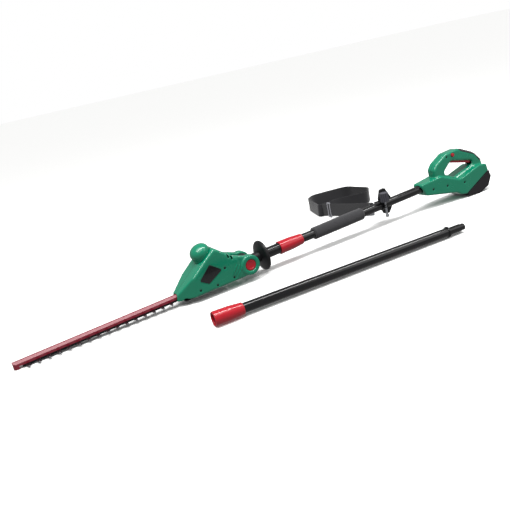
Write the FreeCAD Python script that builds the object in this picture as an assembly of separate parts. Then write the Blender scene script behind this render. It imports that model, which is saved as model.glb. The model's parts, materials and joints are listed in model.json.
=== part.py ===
"""Cordless pole hedge trimmer with its extension pole and shoulder strap.

Lengths are millimetres.  The machine is drawn level in its own axes: X runs
along the pole from the blade to the handle, Y points away from the operator's
left side, Z is up and the pole's axis is X.  place() then tips it by the small
angle at which it lies on a floor, on its battery and its blade tip.
"""
import FreeCAD, Part
import math
import os

from FreeCAD import Vector

# ---- fits and walls -------------------------------------------------------------
RUN_FIT = 0.06          # radial play of a shaft in its bore
GLUE_FIT = 0.05         # radial gap of pieces that are pressed or glued together
GAP = 0.4               # gap between pieces that move past each other
WALL = 2.6              # wall of the moulded housings

# ---- pole and its plug-in coupling ----------------------------------------------
POLE_R = 12.5
POLE_WALL = 1.5
POLE_END_X = 470.0      # end of the pole inside the rear housing
COLLAR_LENGTH = 76.0
COLLAR_BACK_X = -10.0
COLLAR_R = POLE_R + 6.0
COLLAR_BACK_R = POLE_R + 2.7
COLLAR_FLANGE = 3.0
COLLAR_RECESS = 2.5
COLLAR_TAIL = 14.0       # length of the collar that only clears the pole
SOCKET_R = POLE_R + 1.4
SOCKET_END_WALL = 4.0
SOCKET_PLAY = 0.1        # end play of the collar on the socket
PLUG_LENGTH = 30.0       # length of a socket's or spigot's root inside its tube
SPIGOT_R = 10.5
SPIGOT_LENGTH = 52.0
SPIGOT_TIP_R = 9.2       # reduced end that reaches between the contacts
SPIGOT_TIP_LENGTH = 12.0
SPIGOT_WALL = 1.4
RING_R = POLE_R + 2.5
RING_WIDTH = 5.0
STUB_WALL = 2.0          # wall of the stub tube behind the guard disc
STUB_PLUG = 12.0         # length of the spigot's root inside the stub tube
CONTACT_SIZE = (12.0, 0.8, 3.0)
CONTACT_SPREAD = 5.6
CABLE_R = 3.2
GRIP_R = POLE_R + 5.5
GRIP_ROUND = 3.0
GRIP_FRONT_X = 31.0
GRIP_LENGTH = 175.0

# ---- neck, guard disc and tilting joint -----------------------------------------
PIVOT_X = -196.0
DISC_X = -142.0
DISC_R = 42.0
DISC_THICK = 11.0
DISC_DISH = 4.5
KNUCKLE_R = 22.5
KNUCKLE_HALF = 17.0
BOSS_R = 27.0
BOSS_HALF = 40.0
PIN_R = 5.0
BUTTON_R = 15.0
BUTTON_DEPTH = 9.0
BUTTON_TRAVEL = 4.0
BUTTON_RECESS = 2.0
BUTTON_THICK = 5.0

# ---- cutting head ---------------------------------------------------------------
HEAD_BOTTOM_Z = -26.0
HEAD_HALF = 38.0
NOSE_X = -409.0
NOSE_HALF = 15.0
HEAD_ROUND = 6.0        # rounding of the head's long edges
MOTOR_X = -300.0
MOTOR_R = 20.0
MOTOR_BOTTOM_Z = 18.0
MOTOR_TOP_Z = 48.0
MOTOR_SHAFT_R = 2.5
HEAD_BACK = ((-284.0, 81.0), (-226.0, 31.0))     # the sloping back, from the cap down to the joint
HEAD_SCREWS = ((-269.0, 20.0), (-348.0, -12.0), (-250.0, -14.0), (-300.0, -16.0))
VENT_COUNT = 4
VENT_FIRST_X = -270.0
VENT_PITCH = 8.5
VENT_WIDTH = 3.0
VENT_DEPTH = 13.0
CAP_FOOT_X = -297.5     # where the motor cap's axis meets CAP_FOOT_Z
CAP_FOOT_Z = 40.0
CAP_R = 27.0
CAP_LOW_Z = 61.0        # before the cap is leaned forward
CAP_TOP_Z = 97.0
CAP_ROUND = 12.0
CAP_TILT = 22.0         # degrees that the motor cap leans forward
GEAR_MODULE = 1.5
PINION_TEETH = 10
GEAR_TEETH = 38
GEAR_THICK = 6.0
GEAR_Z = 0.0
CRANK_THROW = 7.5
CRANK_PIN_R = 3.5
SHAFT_R = 4.0
PLATE_THICK = 3.0

# ---- blade ----------------------------------------------------------------------
BLADE_TIP_X = -822.0
BAR_HALF = 8.25
BAR_TOP_Z = -8.5
BAR_BOTTOM_Z = -20.0
BAR_RIDGE_HALF = 3.2
BAR_END_X = -386.0
BLADE_THICK = 2.0
BLADE_GAP = 0.35
BLADE_SPINE_HALF = 9.5
TOOTH_COUNT = 16
TOOTH_PITCH = 24.2
TOOTH_FIRST_X = -789.0
TOOTH_REACH = 26.0
TOOTH_ROOT = 12.0
TOOTH_END = 5.0
YOKE_HALF = 20.0
BOLT_R = 2.5
BOLT_COUNT = 5

# ---- rear handle ----------------------------------------------------------------
HANDLE_HALF = 17.0
BODY_HALF = 37.0
BODY_NOSE_HALF = 19.0
BODY_WAIST_HALF = 28.0
REAR_ROUND = 1.5             # rounding of every outer edge of the rear housing
BATTERY_FRONT = (592.0, -63.0)
BATTERY_REAR = (694.0, -16.0)
BATTERY_HALF = 38.0
FOOT_X = 641.0
FOOT_DROP = 76.5        # the floor under the battery, below the pole's axis
CELL_R = 9.1
CELL_LENGTH = 65.0
CELL_COUNT = 4
CELL_PITCH = 18.6
LATCH_TRAVEL = 2.0
TRIGGER_HALF = 9.0
TRIGGER_PIVOT = (654.0, 39.0)
TRIGGER_PIN_R = 2.0
LOCK_OFF_AT = (571.0, 70.0)
LOCK_OFF_R = 5.5
LOCK_OFF_TRAVEL = 2.5

# ---- carrying clamp and strap ---------------------------------------------------
CLAMP_X = 283.0
CLAMP_WIDTH = 12.0
BAND_THICK = 1.6
KNOB_R = 13.0
KNOB_HEIGHT = 26.0
KNOB_RIBS = 12
STRAP_WIDTH = 43.0
RISER_HEIGHT = 32.0      # how far the run climbs from the floor to the hinged end
LOOP_ROUTE = [(243.0, 291.0, 14.0), (279.0, 413.0, 40.0), (318.0, 440.0, 40.0), (451.0, 411.0, 40.0),
              (466.0, 298.0, 40.0), (425.0, 255.0, 30.0), (330.0, 291.0, 90.0)]     # x, y, corner radius
STRAP_THICK = 2.2
SLIDER_SHARE = 0.14     # how far up the climbing run the slider sits
SLIDER_BAR = 2.2
HINGE_PIN_R = 1.6
HINGE_EYE_R = 3.6
HINGE_HALF = 10.0       # half height of the strap's hinge
HINGE_EYE_HALF = 6.0

# ---- extension pole -------------------------------------------------------------
EXTENSION_LENGTH = 737.0
EXTENSION_FRONT = (-396.0, -206.0)
EXTENSION_YAW = -3.9

# ---- values that follow from the ones above ---------------------------------------
COLLAR_FRONT_X = COLLAR_BACK_X - COLLAR_LENGTH
SOCKET_LENGTH = COLLAR_LENGTH - COLLAR_TAIL - COLLAR_RECESS - COLLAR_FLANGE - GAP - SOCKET_PLAY
SOCKET_MOUTH_X = COLLAR_FRONT_X + COLLAR_RECESS + COLLAR_FLANGE + GAP
SOCKET_BACK_X = SOCKET_MOUTH_X + SOCKET_LENGTH
SPIGOT_BORE_R = SPIGOT_R + RUN_FIT
PLUG_IN_POLE_R = POLE_R - POLE_WALL - GLUE_FIT
RING_FACE_X = COLLAR_FRONT_X - GAP
CENTRE_DISTANCE = GEAR_MODULE * (PINION_TEETH + GEAR_TEETH) / 2
CRANK_X = MOTOR_X - CENTRE_DISTANCE
UPPER_BLADE_Z = BAR_BOTTOM_Z - BLADE_GAP - BLADE_THICK
LOWER_BLADE_Z = UPPER_BLADE_Z - BLADE_GAP - BLADE_THICK
TIP_BLOCK_Z = LOWER_BLADE_Z - 1.9
TIP_BLOCK_LENGTH = 13.0
BATTERY_DX = BATTERY_REAR[0] - BATTERY_FRONT[0]
BATTERY_DZ = BATTERY_REAR[1] - BATTERY_FRONT[1]
BATTERY_LENGTH = math.hypot(BATTERY_DX, BATTERY_DZ)
BATTERY_ANGLE = math.degrees(math.atan2(BATTERY_DZ, BATTERY_DX))
REST_PITCH = math.degrees(math.atan2(FOOT_DROP + TIP_BLOCK_Z, FOOT_X - BLADE_TIP_X))

ORIGIN = Vector(0, 0, 0)
AXIS_X = Vector(1, 0, 0)
AXIS_Y = Vector(0, 1, 0)
AXIS_Z = Vector(0, 0, 1)


# ---- drawing helpers ------------------------------------------------------------
def block(x0, x1, y0, y1, z0, z1):
    """Box between two corners."""
    return Part.makeBox(x1 - x0, y1 - y0, z1 - z0, Vector(x0, y0, z0))


def rod_x(radius, x0, x1, y=0.0, z=0.0):
    """Cylinder along X."""
    return Part.makeCylinder(radius, x1 - x0, Vector(x0, y, z), AXIS_X)


def rod_y(radius, y0, y1, x=0.0, z=0.0):
    """Cylinder along Y."""
    return Part.makeCylinder(radius, y1 - y0, Vector(x, y0, z), AXIS_Y)


def rod_z(radius, z0, z1, x=0.0, y=0.0):
    """Cylinder along Z."""
    return Part.makeCylinder(radius, z1 - z0, Vector(x, y, z0), AXIS_Z)


def rounded_wire(points):
    """Closed wire through 3D points, each given with its corner radius."""
    edges = []
    count = len(points)
    ends = []
    for i in range(count):
        before, corner, after = points[i - 1][0], points[i][0], points[(i + 1) % count][0]
        radius = points[i][1]
        to_before = (before - corner).normalize()
        to_after = (after - corner).normalize()
        half_angle = to_before.getAngle(to_after) / 2
        if radius <= 0:
            ends.append((corner, corner, None))
            continue
        reach = radius / math.tan(half_angle)
        start = corner + to_before * reach
        stop = corner + to_after * reach
        centre_way = (to_before + to_after).normalize()
        middle = corner + centre_way * (radius / math.sin(half_angle) - radius)
        ends.append((start, stop, middle))
    for i in range(count):
        start, stop, middle = ends[i]
        if middle is not None:
            edges.append(Part.Arc(start, middle, stop).toShape())
        following = ends[(i + 1) % count][0]
        if stop.distanceToPoint(following) > 1e-6:
            edges.append(Part.makeLine(stop, following))
    return Part.Wire(edges)


def side_face(points):
    """Face in the XZ plane from (x, z) or (x, z, corner radius) points."""
    corners = [(Vector(p[0], 0, p[1]), p[2] if len(p) > 2 else 0.0) for p in points]
    return Part.Face(rounded_wire(corners))


def plan_face(points, z=0.0):
    """Face in a plane of height z from (x, y) or (x, y, corner radius) points."""
    corners = [(Vector(p[0], p[1], z), p[2] if len(p) > 2 else 0.0) for p in points]
    return Part.Face(rounded_wire(corners))


def side_prism(points, y0, y1):
    """Side outline extruded from y0 to y1."""
    face = side_face(points)
    face.translate(Vector(0, y0, 0))
    return face.extrude(Vector(0, y1 - y0, 0))


def plan_prism(points, z0, z1):
    """Plan outline extruded from z0 to z1."""
    return plan_face(points, z0).extrude(Vector(0, 0, z1 - z0))


def turned_x(profile):
    """Solid turned about the X axis from (x, radius) points."""
    wire = Part.makePolygon([Vector(x, 0, r) for x, r in profile + profile[:1]])
    return Part.Face(wire).revolve(ORIGIN, AXIS_X, 360)


def join(shapes):
    """One solid from overlapping solids."""
    result = shapes[0].fuse(shapes[1:]) if len(shapes) > 1 else shapes[0]
    return result.removeSplitter()


def group(shapes):
    """Separate solids that share one node."""
    return Part.makeCompound(shapes)


def halves(shape, reach=2000.0):
    """The parts of a shape on the -Y and the +Y side of the split plane."""
    near = shape.common(block(-reach, reach, -reach, 0, -reach, reach))
    far = shape.common(block(-reach, reach, 0, reach, -reach, reach))
    return near, far


def coil_spring(centre, axis, coil_r, wire_r, length, turns):
    """Helical spring from its first end's centre, along one axis."""
    helix = Part.makeHelix(length / turns, length, coil_r)
    start = Part.Wire(Part.makeCircle(wire_r, Vector(coil_r, 0, 0), AXIS_Y))
    spring = Part.Wire(helix).makePipeShell([start], True, True)
    spring.Placement = FreeCAD.Placement(centre, FreeCAD.Rotation(AXIS_Z, axis))
    return spring


def gear_outline(teeth, module):
    """Plan points of a spur gear with straight-sided teeth, centred on the origin."""
    pitch_r = module * teeth / 2
    tip_r = pitch_r + 0.85 * module
    root_r = pitch_r - 1.15 * module
    step = 2 * math.pi / teeth
    points = []
    for i in range(teeth):
        for radius, share in ((root_r, -0.30), (tip_r, -0.11), (tip_r, 0.11), (root_r, 0.30)):
            angle = (i + share) * step
            points.append((radius * math.cos(angle), radius * math.sin(angle)))
    return points


# ---- placing --------------------------------------------------------------------
def place(shape):
    """Move a shape from the machine's level axes to its resting place on the floor."""
    moved = shape.copy()
    foot = Vector(FOOT_X, 0, -FOOT_DROP)
    moved.translate(-foot)
    moved.rotate(ORIGIN, AXIS_Y, -REST_PITCH)
    return moved


def battery_place(shape):
    """Move a shape from the battery's own axes, x along its top, to the machine's."""
    moved = shape.copy()
    moved.rotate(ORIGIN, AXIS_Y, -BATTERY_ANGLE)
    moved.translate(Vector(BATTERY_FRONT[0], 0, BATTERY_FRONT[1]))
    return moved


def extension_place(shape):
    """Move a pole section whose collar starts at x = 0 to its place on the floor."""
    moved = shape.copy()
    pitch = math.degrees(math.asin((COLLAR_R - RING_R) / EXTENSION_LENGTH))
    moved.rotate(ORIGIN, AXIS_Y, pitch)
    moved.rotate(ORIGIN, AXIS_Z, EXTENSION_YAW)
    moved.translate(Vector(EXTENSION_FRONT[0] - FOOT_X, EXTENSION_FRONT[1], COLLAR_R))
    return moved


# ---- coupling, used at the pole's front end and on the extension ---------------------
def coupling_collar(front_x):
    """Red locking sleeve with a recessed front face and a tapered outside."""
    back_x = front_x + COLLAR_LENGTH
    cavity_end = back_x - COLLAR_TAIL
    outside = turned_x([
        (front_x, 0), (front_x, COLLAR_R - 1.2), (front_x + 1.2, COLLAR_R),
        (front_x + 0.55 * COLLAR_LENGTH, COLLAR_R - 0.6),
        (back_x - 1.0, COLLAR_BACK_R), (back_x, COLLAR_BACK_R - 0.8), (back_x, 0)])
    recess = rod_x(COLLAR_R - 2.8, front_x, front_x + COLLAR_RECESS)
    mouth = rod_x(SPIGOT_R + 1.0, front_x, back_x)
    cavity = rod_x(SOCKET_R + GAP, front_x + COLLAR_RECESS + COLLAR_FLANGE, cavity_end)
    tail = rod_x(POLE_R + GAP, front_x, back_x)
    tail = tail.common(block(cavity_end - 1, back_x, -COLLAR_R, COLLAR_R, -COLLAR_R, COLLAR_R))
    return outside.cut([recess, mouth, cavity, tail])


def coupling_socket(mouth_x):
    """Plastic insert that fills the pole's end and takes the spigot."""
    back_x = mouth_x + SOCKET_LENGTH
    head = rod_x(SOCKET_R, mouth_x, back_x)
    plug = rod_x(PLUG_IN_POLE_R, back_x, back_x + PLUG_LENGTH)
    wall_x = back_x - SOCKET_END_WALL
    bore = rod_x(SPIGOT_BORE_R, mouth_x, wall_x - CONTACT_SIZE[0])
    chamber = rod_x(SPIGOT_TIP_R + GAP, mouth_x, wall_x)
    cable_way = rod_x(CABLE_R + GAP, mouth_x, back_x + PLUG_LENGTH)
    slots = [contact_blank(wall_x, side, GLUE_FIT) for side in (-1, 1)]
    return head.fuse(plug).cut([bore, chamber, cable_way] + slots)


def contact_blank(wall_x, side, play):
    """One flat contact blade standing in the socket's end wall."""
    length, thick, height = CONTACT_SIZE
    y = side * CONTACT_SPREAD
    return block(wall_x - length, wall_x + SOCKET_END_WALL, y - thick / 2 - play, y + thick / 2 + play,
                 -height / 2 - play, height / 2 + play)


def coupling_contacts(mouth_x):
    """The two contact blades of a socket."""
    wall_x = mouth_x + SOCKET_LENGTH - SOCKET_END_WALL
    return group([contact_blank(wall_x, side, 0.0) for side in (-1, 1)])


def coupling_spigot(ring_face_x, root_length):
    """Shouldered plug-in end: ring, spigot tube and a root inside the tube behind it."""
    ring = turned_x([
        (ring_face_x - RING_WIDTH, 0), (ring_face_x - RING_WIDTH, RING_R - 1.0),
        (ring_face_x - RING_WIDTH + 1.0, RING_R), (ring_face_x - 0.6, RING_R),
        (ring_face_x, RING_R - 0.6), (ring_face_x, 0)])
    length = SPIGOT_LENGTH
    tube = rod_x(SPIGOT_R, ring_face_x, ring_face_x + length - SPIGOT_TIP_LENGTH)
    tip = rod_x(SPIGOT_TIP_R, ring_face_x, ring_face_x + length)
    root = rod_x(PLUG_IN_POLE_R, ring_face_x - RING_WIDTH - root_length, ring_face_x - RING_WIDTH)
    body = join([ring, tube, tip, root])
    hollow = rod_x(SPIGOT_TIP_R - SPIGOT_WALL, ring_face_x - RING_WIDTH - root_length, ring_face_x + length)
    slot = block(ring_face_x + length - 10.0, ring_face_x + length, -1.5, 1.5, 0, SPIGOT_R + 1)
    return body.cut([hollow, slot])


def spigot_plug(ring_face_x):
    """Insulating plug in the spigot, with two slots that take the contact blades."""
    end_x = ring_face_x + SPIGOT_LENGTH
    core = rod_x(SPIGOT_TIP_R - SPIGOT_WALL - GLUE_FIT, end_x - 18.0, end_x - 1.0)
    slots = []
    for side in (-1, 1):
        y = side * CONTACT_SPREAD
        half_y = CONTACT_SIZE[1] / 2 + GAP
        half_z = CONTACT_SIZE[2] / 2 + GAP
        slots.append(block(end_x - 16.0, end_x, y - half_y, y + half_y, -half_z, half_z))
    return core.cut(slots)


def main_pole():
    """Long tube from the coupling to the rear housing."""
    outer = rod_x(POLE_R, SOCKET_BACK_X, POLE_END_X)
    return outer.cut(rod_x(POLE_R - POLE_WALL, SOCKET_BACK_X, POLE_END_X))


def foam_grip():
    """Foam sleeve for the front hand, with rounded ends."""
    end_x = GRIP_FRONT_X + GRIP_LENGTH
    sleeve = rod_x(GRIP_R, GRIP_FRONT_X, end_x)
    rims = [e for e in sleeve.Edges if isinstance(e.Curve, Part.Circle)]
    return sleeve.makeFillet(GRIP_ROUND, rims).cut(rod_x(POLE_R + GLUE_FIT, GRIP_FRONT_X, end_x))


def pole_cable():
    """Straight power lead that runs inside the pole."""
    return rod_x(CABLE_R, SOCKET_MOUTH_X + SOCKET_LENGTH, POLE_END_X + 12.0)


# ---- neck -----------------------------------------------------------------------
def front_tube():
    """Short stub tube between the guard disc and the coupling ring."""
    outer = rod_x(RING_R, DISC_X, RING_FACE_X - RING_WIDTH)
    return outer.cut(rod_x(RING_R - STUB_WALL, DISC_X, RING_FACE_X - RING_WIDTH))


def front_spigot():
    """Spigot of the neck; its root sits in the stub tube."""
    spigot = coupling_spigot(RING_FACE_X, STUB_PLUG)
    sleeve = rod_x(RING_R - STUB_WALL - GLUE_FIT, RING_FACE_X - RING_WIDTH - STUB_PLUG, RING_FACE_X - RING_WIDTH)
    sleeve = sleeve.cut(rod_x(SPIGOT_TIP_R - SPIGOT_WALL, DISC_X, RING_FACE_X))
    return join([spigot, sleeve])


def guard_disc():
    """Dished hand guard, hollow towards the handle."""
    front = DISC_X - DISC_THICK / 2
    back = DISC_X + DISC_THICK / 2
    disc = turned_x([
        (front - DISC_DISH, 0), (front - DISC_DISH, RING_R + 4.0), (front, DISC_R - 7.0),
        (front + 2.0, DISC_R - 2.2), (front + 4.5, DISC_R), (back - 2.5, DISC_R),
        (back, DISC_R - 2.0), (back, DISC_R - 4.5), (front + 5.5, DISC_R - 8.0),
        (front + 3.0, RING_R + 5.0), (back, RING_R + 3.0), (back, 0)])
    return disc.cut(rod_x(RING_R + GLUE_FIT, front - DISC_DISH - 1, back + 1))


def knuckle():
    """Centre leaf of the tilting joint with its neck into the guard disc."""
    leaf = rod_y(KNUCKLE_R, -KNUCKLE_HALF, KNUCKLE_HALF, PIVOT_X)
    neck = rod_x(RING_R, PIVOT_X, DISC_X - 0.2)
    bore = rod_y(PIN_R + RUN_FIT, -KNUCKLE_HALF, KNUCKLE_HALF, PIVOT_X)
    return join([leaf, neck]).cut(bore)


def pivot_pin():
    """Steel pin through both arms and the knuckle."""
    return rod_y(PIN_R, -BOSS_HALF + BUTTON_DEPTH + BUTTON_TRAVEL + 2.0, BOSS_HALF - 6.0, PIVOT_X)


def lock_button():
    """Round push button that frees the tilt."""
    front_y = -BOSS_HALF + BUTTON_RECESS
    button = rod_y(BUTTON_R, front_y, front_y + BUTTON_THICK, PIVOT_X)
    rim = [e for e in button.Edges if isinstance(e.Curve, Part.Circle)
           and abs(e.Curve.Center.y - front_y) < 1e-6]
    return button.makeFillet(1.5, rim)


def lock_spring():
    """Spring behind the lock button."""
    start = Vector(PIVOT_X, -BOSS_HALF + BUTTON_RECESS + BUTTON_THICK + 1.0, 0)
    return coil_spring(start, AXIS_Y, 7.0, 0.9, BUTTON_TRAVEL + 1.4, 3)


def pivot_cap():
    """Round cover on the far arm."""
    cap = rod_y(BUTTON_R, BOSS_HALF - 4.0, BOSS_HALF + 1.0, PIVOT_X)
    rim = [e for e in cap.Edges if isinstance(e.Curve, Part.Circle)
           and abs(e.Curve.Center.y - BOSS_HALF - 1.0) < 1e-6]
    return cap.makeFillet(1.5, rim)


# ---- head -----------------------------------------------------------------------
def head_profile():
    """Side outline of the head housing, tilting joint left out."""
    return [(NOSE_X, HEAD_BOTTOM_Z, 1.5), (NOSE_X + 3.0, -8.0, 6.0), (-318.0, 58.0, 8.0),
            (-284.0, 81.0, 10.0), (-226.0, 31.0, 10.0), (-221.0, -18.0, 8.0),
            (-236.0, HEAD_BOTTOM_Z, 8.0)]


def head_plan(inset):
    """Plan outline of the head: narrow nose, full width behind it."""
    half = HEAD_HALF - inset
    nose = NOSE_HALF - inset
    return [(NOSE_X + inset, -nose, 3.0), (-356.0, -half, 12.0), (-222.0 - inset, -half, 5.0),
            (-222.0 - inset, half, 5.0), (-356.0, half, 12.0), (NOSE_X + inset, nose, 3.0)]


def head_solid(inset):
    """Outer body of the head, or the same body drawn inwards by a wall."""
    face = side_face(head_profile())
    if inset:
        face = Part.Face(face.OuterWire.makeOffset2D(-inset))
    body = rounded_prism(face, HEAD_HALF - inset, HEAD_ROUND - inset)
    return body.common(plan_prism(head_plan(inset), -60.0, 120.0))


def rounded_prism(face, half, radius):
    """A side face extruded to both sides, with its outline edges rounded."""
    face = face.copy()
    face.translate(Vector(0, -half, 0))
    solid = face.extrude(Vector(0, 2 * half, 0))
    rims = [e for e in solid.Edges if all(abs(abs(v.Y) - half) < 1e-6 for v in e.Vertexes)
            and e.BoundBox.YLength < 1e-6]
    return solid.makeFillet(radius, rims)


def head_arms():
    """Two clevis arms with round bosses."""
    arms = []
    for side in (-1, 1):
        inner = side * (KNUCKLE_HALF + GAP)
        outer = side * BOSS_HALF
        y0, y1 = min(inner, outer), max(inner, outer)
        boss = rod_y(BOSS_R, y0, y1, PIVOT_X)
        inner_web, outer_web = inner, side * (HEAD_HALF - 2.0)
        w0, w1 = min(inner_web, outer_web), max(inner_web, outer_web)
        web = side_prism([(-240.0, HEAD_BOTTOM_Z), (-240.0, 42.0), (PIVOT_X - 4.0, BOSS_R - 1.0),
                          (PIVOT_X - 4.0, 2.0 - BOSS_R)], w0, w1)
        arms.append(boss.fuse(web))
    return arms


def motor_frame(shape):
    """Lean a shape forward with the motor cap about the foot of its axis."""
    moved = shape.copy()
    moved.rotate(Vector(CAP_FOOT_X, 0, CAP_FOOT_Z), AXIS_Y, -CAP_TILT)
    return moved


def head_shells():
    """Both half shells of the head."""
    arms = head_arms()
    solid = head_solid(0.0).fuse(arms)
    collar = motor_frame(rod_z(CAP_R - 1.0, 30.0, CAP_LOW_Z - GAP, CAP_FOOT_X))
    solid = solid.fuse(collar)
    cavity = head_solid(WALL)
    hollow = motor_frame(rod_z(CAP_R - 1.0 - WALL, 20.0, CAP_TOP_Z, CAP_FOOT_X))
    knuckle_room = rod_y(KNUCKLE_R + 1.5, -KNUCKLE_HALF - GAP, KNUCKLE_HALF + GAP, PIVOT_X)
    knuckle_slot = block(PIVOT_X - 6.0, PIVOT_X + 40.0, -KNUCKLE_HALF - GAP, KNUCKLE_HALF + GAP, -60, 60)
    pin_bore = rod_y(PIN_R + RUN_FIT, -BOSS_HALF, BOSS_HALF, PIVOT_X)
    button_pocket = rod_y(BUTTON_R + GAP, -BOSS_HALF, -BOSS_HALF + BUTTON_DEPTH + BUTTON_TRAVEL + 1.5, PIVOT_X)
    cap_pocket = rod_y(BUTTON_R + GLUE_FIT, BOSS_HALF - 4.0, BOSS_HALF + 2.0, PIVOT_X)
    bar_way = block(NOSE_X - 5, NOSE_X + 40, -BAR_HALF - 0.5, BAR_HALF + 0.5, BAR_BOTTOM_Z - 0.5, BAR_TOP_Z + 0.5)
    blade_way = block(NOSE_X - 5, NOSE_X + 40, -BLADE_SPINE_HALF - 1.0, BLADE_SPINE_HALF + 1.0,
                      HEAD_BOTTOM_Z - 1.0, BAR_BOTTOM_Z)
    belly = block(-392.0, -262.0, -26.0, 26.0, HEAD_BOTTOM_Z - 1.0, HEAD_BOTTOM_Z + WALL + 1.0)
    plate_seat = label_plate_blank(0.1)
    cap_seat = motor_frame(rod_z(CAP_R + GAP, CAP_LOW_Z - GAP, CAP_TOP_Z + 10.0, CAP_FOOT_X))
    cuts = [cavity, hollow, cap_seat, knuckle_room, knuckle_slot, pin_bore, button_pocket, cap_pocket,
            bar_way, blade_way, belly, plate_seat]
    for x, z in HEAD_SCREWS:
        cuts.append(rod_y(3.4, -HEAD_HALF - 5.0, -HEAD_HALF + 1.6, x, z))
        cuts.append(rod_y(1.8, -HEAD_HALF, -HEAD_HALF + 13.0, x, z))
    cuts += vent_slots()
    return halves(solid.cut(cuts))


def vent_slots():
    """Cooling slots across the sloping back of the head, as notches in both its sides."""
    (top_x, top_z), (foot_x, foot_z) = HEAD_BACK
    slots = []
    for i in range(VENT_COUNT):
        x = VENT_FIRST_X + i * VENT_PITCH
        ridge_z = top_z + (x - top_x) * (foot_z - top_z) / (foot_x - top_x)
        slots.append(block(x, x + VENT_WIDTH, -HEAD_HALF - 1.0, HEAD_HALF + 1.0, ridge_z - VENT_DEPTH, top_z + 10.0))
    return slots


def label_plate_blank(play):
    """Side plate's body, or its seat when play is given."""
    outline = [(-308.0, 44.0), (-278.0, 20.0), (-321.0, -3.0), (-344.0, 12.0)]
    plate = side_prism([(x, z, 3.0) for x, z in outline], -HEAD_HALF - 0.6, -HEAD_HALF + 1.2 + play)
    return plate


def side_plate():
    """Plain dark plate let into the near side of the head."""
    return label_plate_blank(0.0)


def motor_cap():
    """Domed motor cover with a grooved band."""
    roof = 4.0
    dome = rod_z(CAP_R, CAP_LOW_Z, CAP_TOP_Z, CAP_FOOT_X)
    inner = rod_z(CAP_R - WALL, CAP_LOW_Z - 1.0, CAP_TOP_Z - roof, CAP_FOOT_X)
    rounded = []
    for shape, top_z, radius in ((dome, CAP_TOP_Z, CAP_ROUND), (inner, CAP_TOP_Z - roof, CAP_ROUND - WALL)):
        top = [e for e in shape.Edges if isinstance(e.Curve, Part.Circle) and abs(e.Curve.Center.z - top_z) < 1e-6]
        rounded.append(shape.makeFillet(radius, top))
    cap = rounded[0].cut(rounded[1])
    for i in range(4):
        z = CAP_LOW_Z + 2.5 + i * 4.2
        ring = rod_z(CAP_R + 1.0, z, z + 2.0, CAP_FOOT_X).cut(rod_z(CAP_R - 1.3, z, z + 2.0, CAP_FOOT_X))
        cap = cap.cut(ring)
    return motor_frame(cap)


def motor():
    """Upright drive motor: can, end bell and shaft."""
    can = rod_z(MOTOR_R, MOTOR_BOTTOM_Z, MOTOR_TOP_Z, MOTOR_X)
    boss = rod_z(9.0, MOTOR_BOTTOM_Z - 3.5, MOTOR_BOTTOM_Z, MOTOR_X)
    shaft = rod_z(MOTOR_SHAFT_R, GEAR_Z - 2.0, MOTOR_BOTTOM_Z - 3.0, MOTOR_X)
    return join([can, boss, shaft])


def pinion():
    """Small gear pressed on the motor's shaft."""
    gear = plan_prism(gear_outline(PINION_TEETH, GEAR_MODULE), GEAR_Z, GEAR_Z + GEAR_THICK)
    gear.translate(Vector(MOTOR_X, 0, 0))
    return gear.cut(rod_z(MOTOR_SHAFT_R + GLUE_FIT, GEAR_Z - 1, GEAR_Z + GEAR_THICK + 1, MOTOR_X))


def drive_gear():
    """Large gear, turned half a tooth so that it meshes with the pinion."""
    gear = plan_prism(gear_outline(GEAR_TEETH, GEAR_MODULE), GEAR_Z, GEAR_Z + GEAR_THICK)
    gear.rotate(ORIGIN, AXIS_Z, 180.0 / GEAR_TEETH)
    holes = [rod_z(5.0, GEAR_Z - 1, GEAR_Z + GEAR_THICK + 1, 15.0 * math.cos(a), 15.0 * math.sin(a))
             for a in (math.radians(60.0 * i) for i in range(6))]
    gear = gear.cut(holes + [rod_z(SHAFT_R + GLUE_FIT, GEAR_Z - 1, GEAR_Z + GEAR_THICK + 1)])
    gear.translate(Vector(CRANK_X, 0, 0))
    return gear


def crank_shaft():
    """Gear shaft with two crank discs, opposite each other, for the two blades."""
    shaft = rod_z(SHAFT_R, BAR_BOTTOM_Z + 14.0, GEAR_Z + GEAR_THICK + 9.0, CRANK_X)
    web = rod_z(CRANK_THROW + CRANK_PIN_R + 1.0, -8.0, -3.0, CRANK_X)
    upper_pin = rod_z(CRANK_PIN_R, UPPER_BLADE_Z, -6.0, CRANK_X, CRANK_THROW)
    middle = rod_z(CRANK_THROW + CRANK_PIN_R + 1.0, -18.0, -14.0, CRANK_X)
    lower_pin = rod_z(CRANK_PIN_R, LOWER_BLADE_Z, -16.0, CRANK_X, -CRANK_THROW)
    return join([shaft, web, upper_pin, middle, lower_pin])


def bearing(radius_in, radius_out, z0, z1, x):
    """Plain drawing of a ball bearing as one ring."""
    return rod_z(radius_out, z0, z1, x).cut(rod_z(radius_in, z0, z1, x))


def gearbox_plate():
    """Plate that carries the motor and the crank shaft's bearing."""
    z0 = GEAR_Z + GEAR_THICK + 2.0
    plate = plan_prism([(CRANK_X - 14.0, -16.0, 6.0), (MOTOR_X - 24.0, -30.0, 8.0), (MOTOR_X + 26.0, -30.0, 8.0),
                        (MOTOR_X + 26.0, 30.0, 8.0), (MOTOR_X - 24.0, 30.0, 8.0), (CRANK_X - 14.0, 16.0, 6.0)],
                       z0, z0 + PLATE_THICK)
    return plate.cut([rod_z(8.0 + GLUE_FIT, z0 - 1, z0 + 5, CRANK_X), rod_z(5.5, z0 - 1, z0 + 5, MOTOR_X)])


def crank_bearing():
    """Ball bearing of the crank shaft."""
    z0 = GEAR_Z + GEAR_THICK + 1.5
    return bearing(SHAFT_R + RUN_FIT, 8.0, z0, z0 + 5.0, CRANK_X)


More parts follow.
